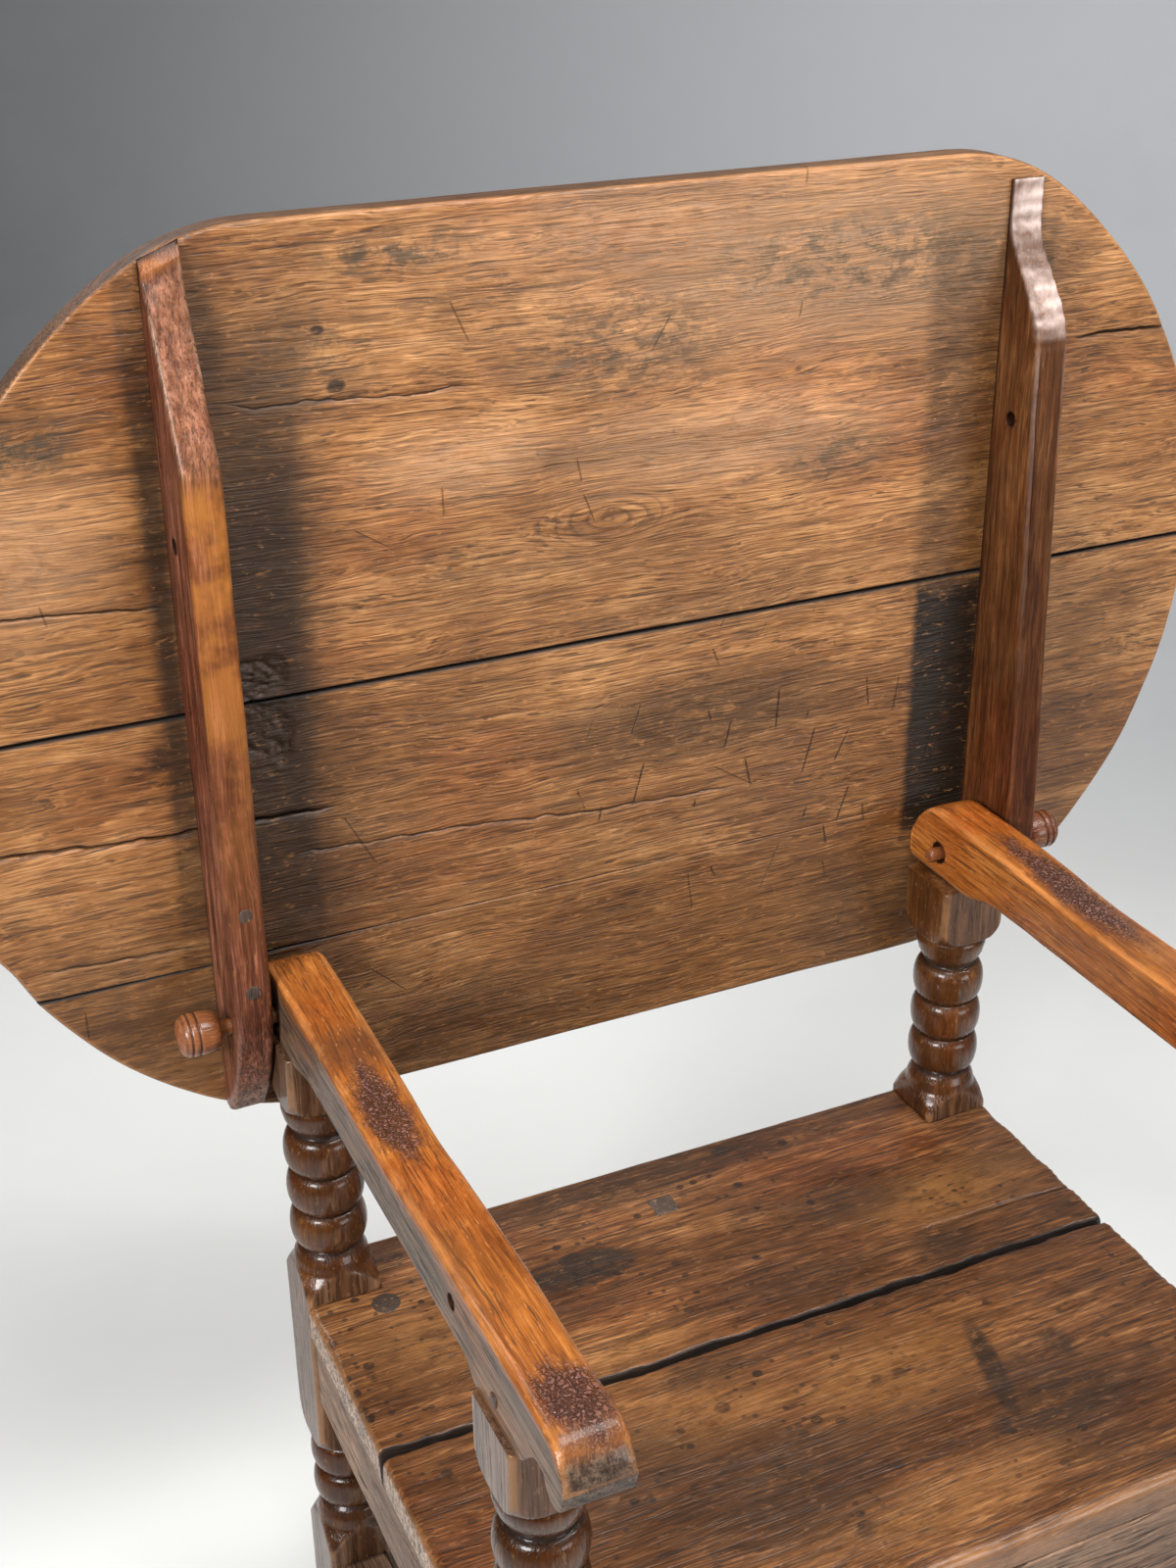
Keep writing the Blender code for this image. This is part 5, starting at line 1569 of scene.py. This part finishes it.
for node, above in battenPeg["above"].items():
    face = battenSpec["back"] - float(battenDepth(above, battenSpec, battenSpec["sides"]["left"]))
    mesh = turnPiece(
        node + "_end", pegProfile(battenPeg["radius"], battenPeg["length"]), "darkPlugOak",
        (battenPeg["x"], face + battenPeg["length"], pivotZ + above), battenPeg["seed"] + above,
        battenPeg["toolMarks"], turn=(quarterTurn, 0.0, 0.0),
    )
    addPiece(mesh, "tilting_top", node, "darkPlugOak")

x, y, radius = plugSpec["round"]
mesh = turnPiece(
    "seat_plug_round_end", pegProfile(radius, plugSpec["depth"]), "darkPlugOak",
    (x, y, seatTop - plugSpec["depth"]), plugSpec["seed"], plugSpec["toolMarks"], sides=plugSpec["sides"],
)
addPiece(mesh, "base", "seat_plug_round", "darkPlugOak")

x, y, half = plugSpec["square"]
heights, shrink = np.array(plugSpec["squareRows"]).T
inset = half - shrink
square = roundedSection(x - inset, x + inset, y - inset, y + inset, [plugSpec["arris"]] * 4, side=6, bend=4)
levels = np.broadcast_to((seatTop + heights)[:, None, None], (*square.shape[:2], 1))
mesh = loftMesh("seat_plug_square_end", np.concatenate([square, levels], -1), {})
addPiece(mesh, "base", "seat_plug_square", "darkPlugOak")
print("pins, pegs and plugs made")


# Studio: pale floor running up into a soft grey wall, with painted shade at the left, in front and further
# off, a painted lighter wall at the right, and soft lights

studio = {
    "floorRadius": 3.4, "coveRadius": 1.2, "wallTop": 5.0, "near": 0.9, "far": 3.6, "around": 72,
    "rough": 0.6, "floorColour": (0.785, 0.785, 0.765), "frontColour": (0.34, 0.34, 0.34),
    "leftColour": (0.205, 0.209, 0.217), "rightColour": (0.86, 0.872, 0.90), "scuffColour": (0.5, 0.5, 0.5),
    "fill": 0.14, "fillColour": (0.95, 0.97, 1.0),
    "lights": {      # place, aim, size, spread in degrees, power in watts
        "leftLight": ((-2.6, -1.6, 2.2), (0.0, 0.0, 0.65), (1.1, 1.1), 70.0, 25.0),
        "frontLight": ((1.5, -2.8, 1.10), (0.0, 0.2, 0.95), (1.4, 1.0), 75.0, 7.0),
        "stripLight": ((1.5, -0.6, 2.45), (0.25, 0.0, 0.75), (0.10, 0.9), 120.0, 7.0),
        "topLight": ((0.15, -0.55, 2.40), (0.0, 0.1, 0.5), (1.5, 0.7), 110.0, 19.0),
        "backLight": ((-0.9, 2.3, 2.8), (0.0, 0.3, 0.8), (1.2, 0.8), 120.0, 14.0),
        "wallLight": ((0.5, 0.9, 3.6), (0.9, 4.4, 1.3), (2.4, 0.8), 130.0, 32.0),
    },
}


def studioPaint(spec):
    material = bpy.data.materials.new("studioPaint")
    material.use_nodes = True
    tree = material.node_tree
    shader = tree.nodes["Principled BSDF"]
    place = put(tree, "ShaderNodeTexCoord").outputs["Object"]
    parts = parted(tree, place)
    distance = put(tree, "ShaderNodeVectorMath", {0: place}, operation="LENGTH").outputs["Value"]
    # painted shade: the wall darker at the left and lighter at the right
    aside = fade(tree, addScaled(tree, parts[1], -0.42, parts[0]), -2.2, 2.0)
    wall = mixTint(tree, aside, tinted(spec["leftColour"]), tinted(spec["rightColour"]))
    # painted falloff: the floor fades into the darker wall colours further off
    tint = mixTint(tree, fade(tree, distance, spec["near"], spec["far"]), tinted(spec["floorColour"]), wall)
    # painted shade: the floor darker in front
    tint = mixTint(tree, fade(tree, parts[1], -0.5, -2.6, 0.0, 0.75), tint, tinted(spec["frontColour"]))
    scuff = grainNoise(tree, place, (3.0, 3.0, 3.0), 5.0, 0.6)
    tint = mixTint(tree, fade(tree, scuff, 0.40, 0.75, 0.0, 0.08), tint, tinted(spec["scuffColour"]))
    feed(tree, shader.inputs["Base Color"], tint)
    shader.inputs["Roughness"].default_value = spec["rough"]
    return material


def makeStudio(spec):
    rows = [(0.0001, 0.0), (1.0, 0.0), (2.2, 0.0), (spec["floorRadius"], 0.0)]
    for angle in np.linspace(0, quarterTurn, 16)[1:]:
        out = spec["floorRadius"] + spec["coveRadius"] * math.sin(angle)
        rows.append((out, spec["coveRadius"] * (1 - math.cos(angle))))
    rows.append((spec["floorRadius"] + spec["coveRadius"], spec["wallTop"]))
    angles = np.linspace(0, 2 * math.pi, spec["around"], endpoint=False)
    points = [(r * math.cos(a), r * math.sin(a), z) for r, z in rows for a in angles]
    mesh = bpy.data.meshes.new("studioCove")
    mesh.from_pydata(points, [], bandQuads(len(rows), spec["around"]))
    mesh.shade_smooth()
    mesh.materials.append(studioPaint(spec))
    newObject("studioCove", mesh)
    for name, (place, aim, size, spread, power) in spec["lights"].items():
        lamp = bpy.data.lights.new(name, "AREA")
        lamp.shape = "RECTANGLE"
        lamp.size, lamp.size_y = size
        lamp.energy = power
        lamp.spread = math.radians(spread)
        holder = newObject(name, lamp)
        holder.location = place
        holder.visible_camera = False
        holder.rotation_euler = (Vector(aim) - Vector(place)).to_track_quat("-Z", "Y").to_euler()
    world = bpy.data.worlds.new("studioFill")
    world.use_nodes = True
    background = world.node_tree.nodes["Background"].inputs
    background["Color"].default_value = tinted(spec["fillColour"])
    background["Strength"].default_value = spec["fill"]
    bpy.context.scene.world = world
    bpy.context.scene.view_settings.view_transform = "Standard"


cameraSpec = {      # solved from the photo: angles in degrees, focal length in pixels of its height
    "yaw": -24.2, "pitch": -26.6, "roll": -0.6, "at": (-0.5692, -0.9386, 1.4199), "focal": 2057.7,
    "pixels": 1600, "sensor": 36.0, "near": 0.05,
}


def makeCamera(spec):
    yaw, pitch, roll = (math.radians(spec[angle]) for angle in ("yaw", "pitch", "roll"))
    forward = Vector((-math.sin(yaw) * math.cos(pitch), math.cos(yaw) * math.cos(pitch), math.sin(pitch)))
    right = Vector((math.cos(yaw), math.sin(yaw), 0.0))
    up = right.cross(forward)
    tiltedRight = math.cos(roll) * right + math.sin(roll) * up
    tiltedUp = -math.sin(roll) * right + math.cos(roll) * up
    camera = bpy.data.cameras.new("photoCamera")
    camera.sensor_fit = "VERTICAL"
    camera.sensor_height = spec["sensor"]
    camera.lens = spec["sensor"] * spec["focal"] / spec["pixels"]
    camera.clip_start = spec["near"]
    holder = newObject("photoCamera", camera)
    rows = [[tiltedRight[n], tiltedUp[n], -forward[n], spec["at"][n]] for n in range(3)]
    holder.matrix_world = Matrix(rows + [[0.0, 0.0, 0.0, 1.0]])
    bpy.context.scene.camera = holder


makeStudio(studio)
makeCamera(cameraSpec)
print("studio and camera ready")

bpy.context.view_layer.update()
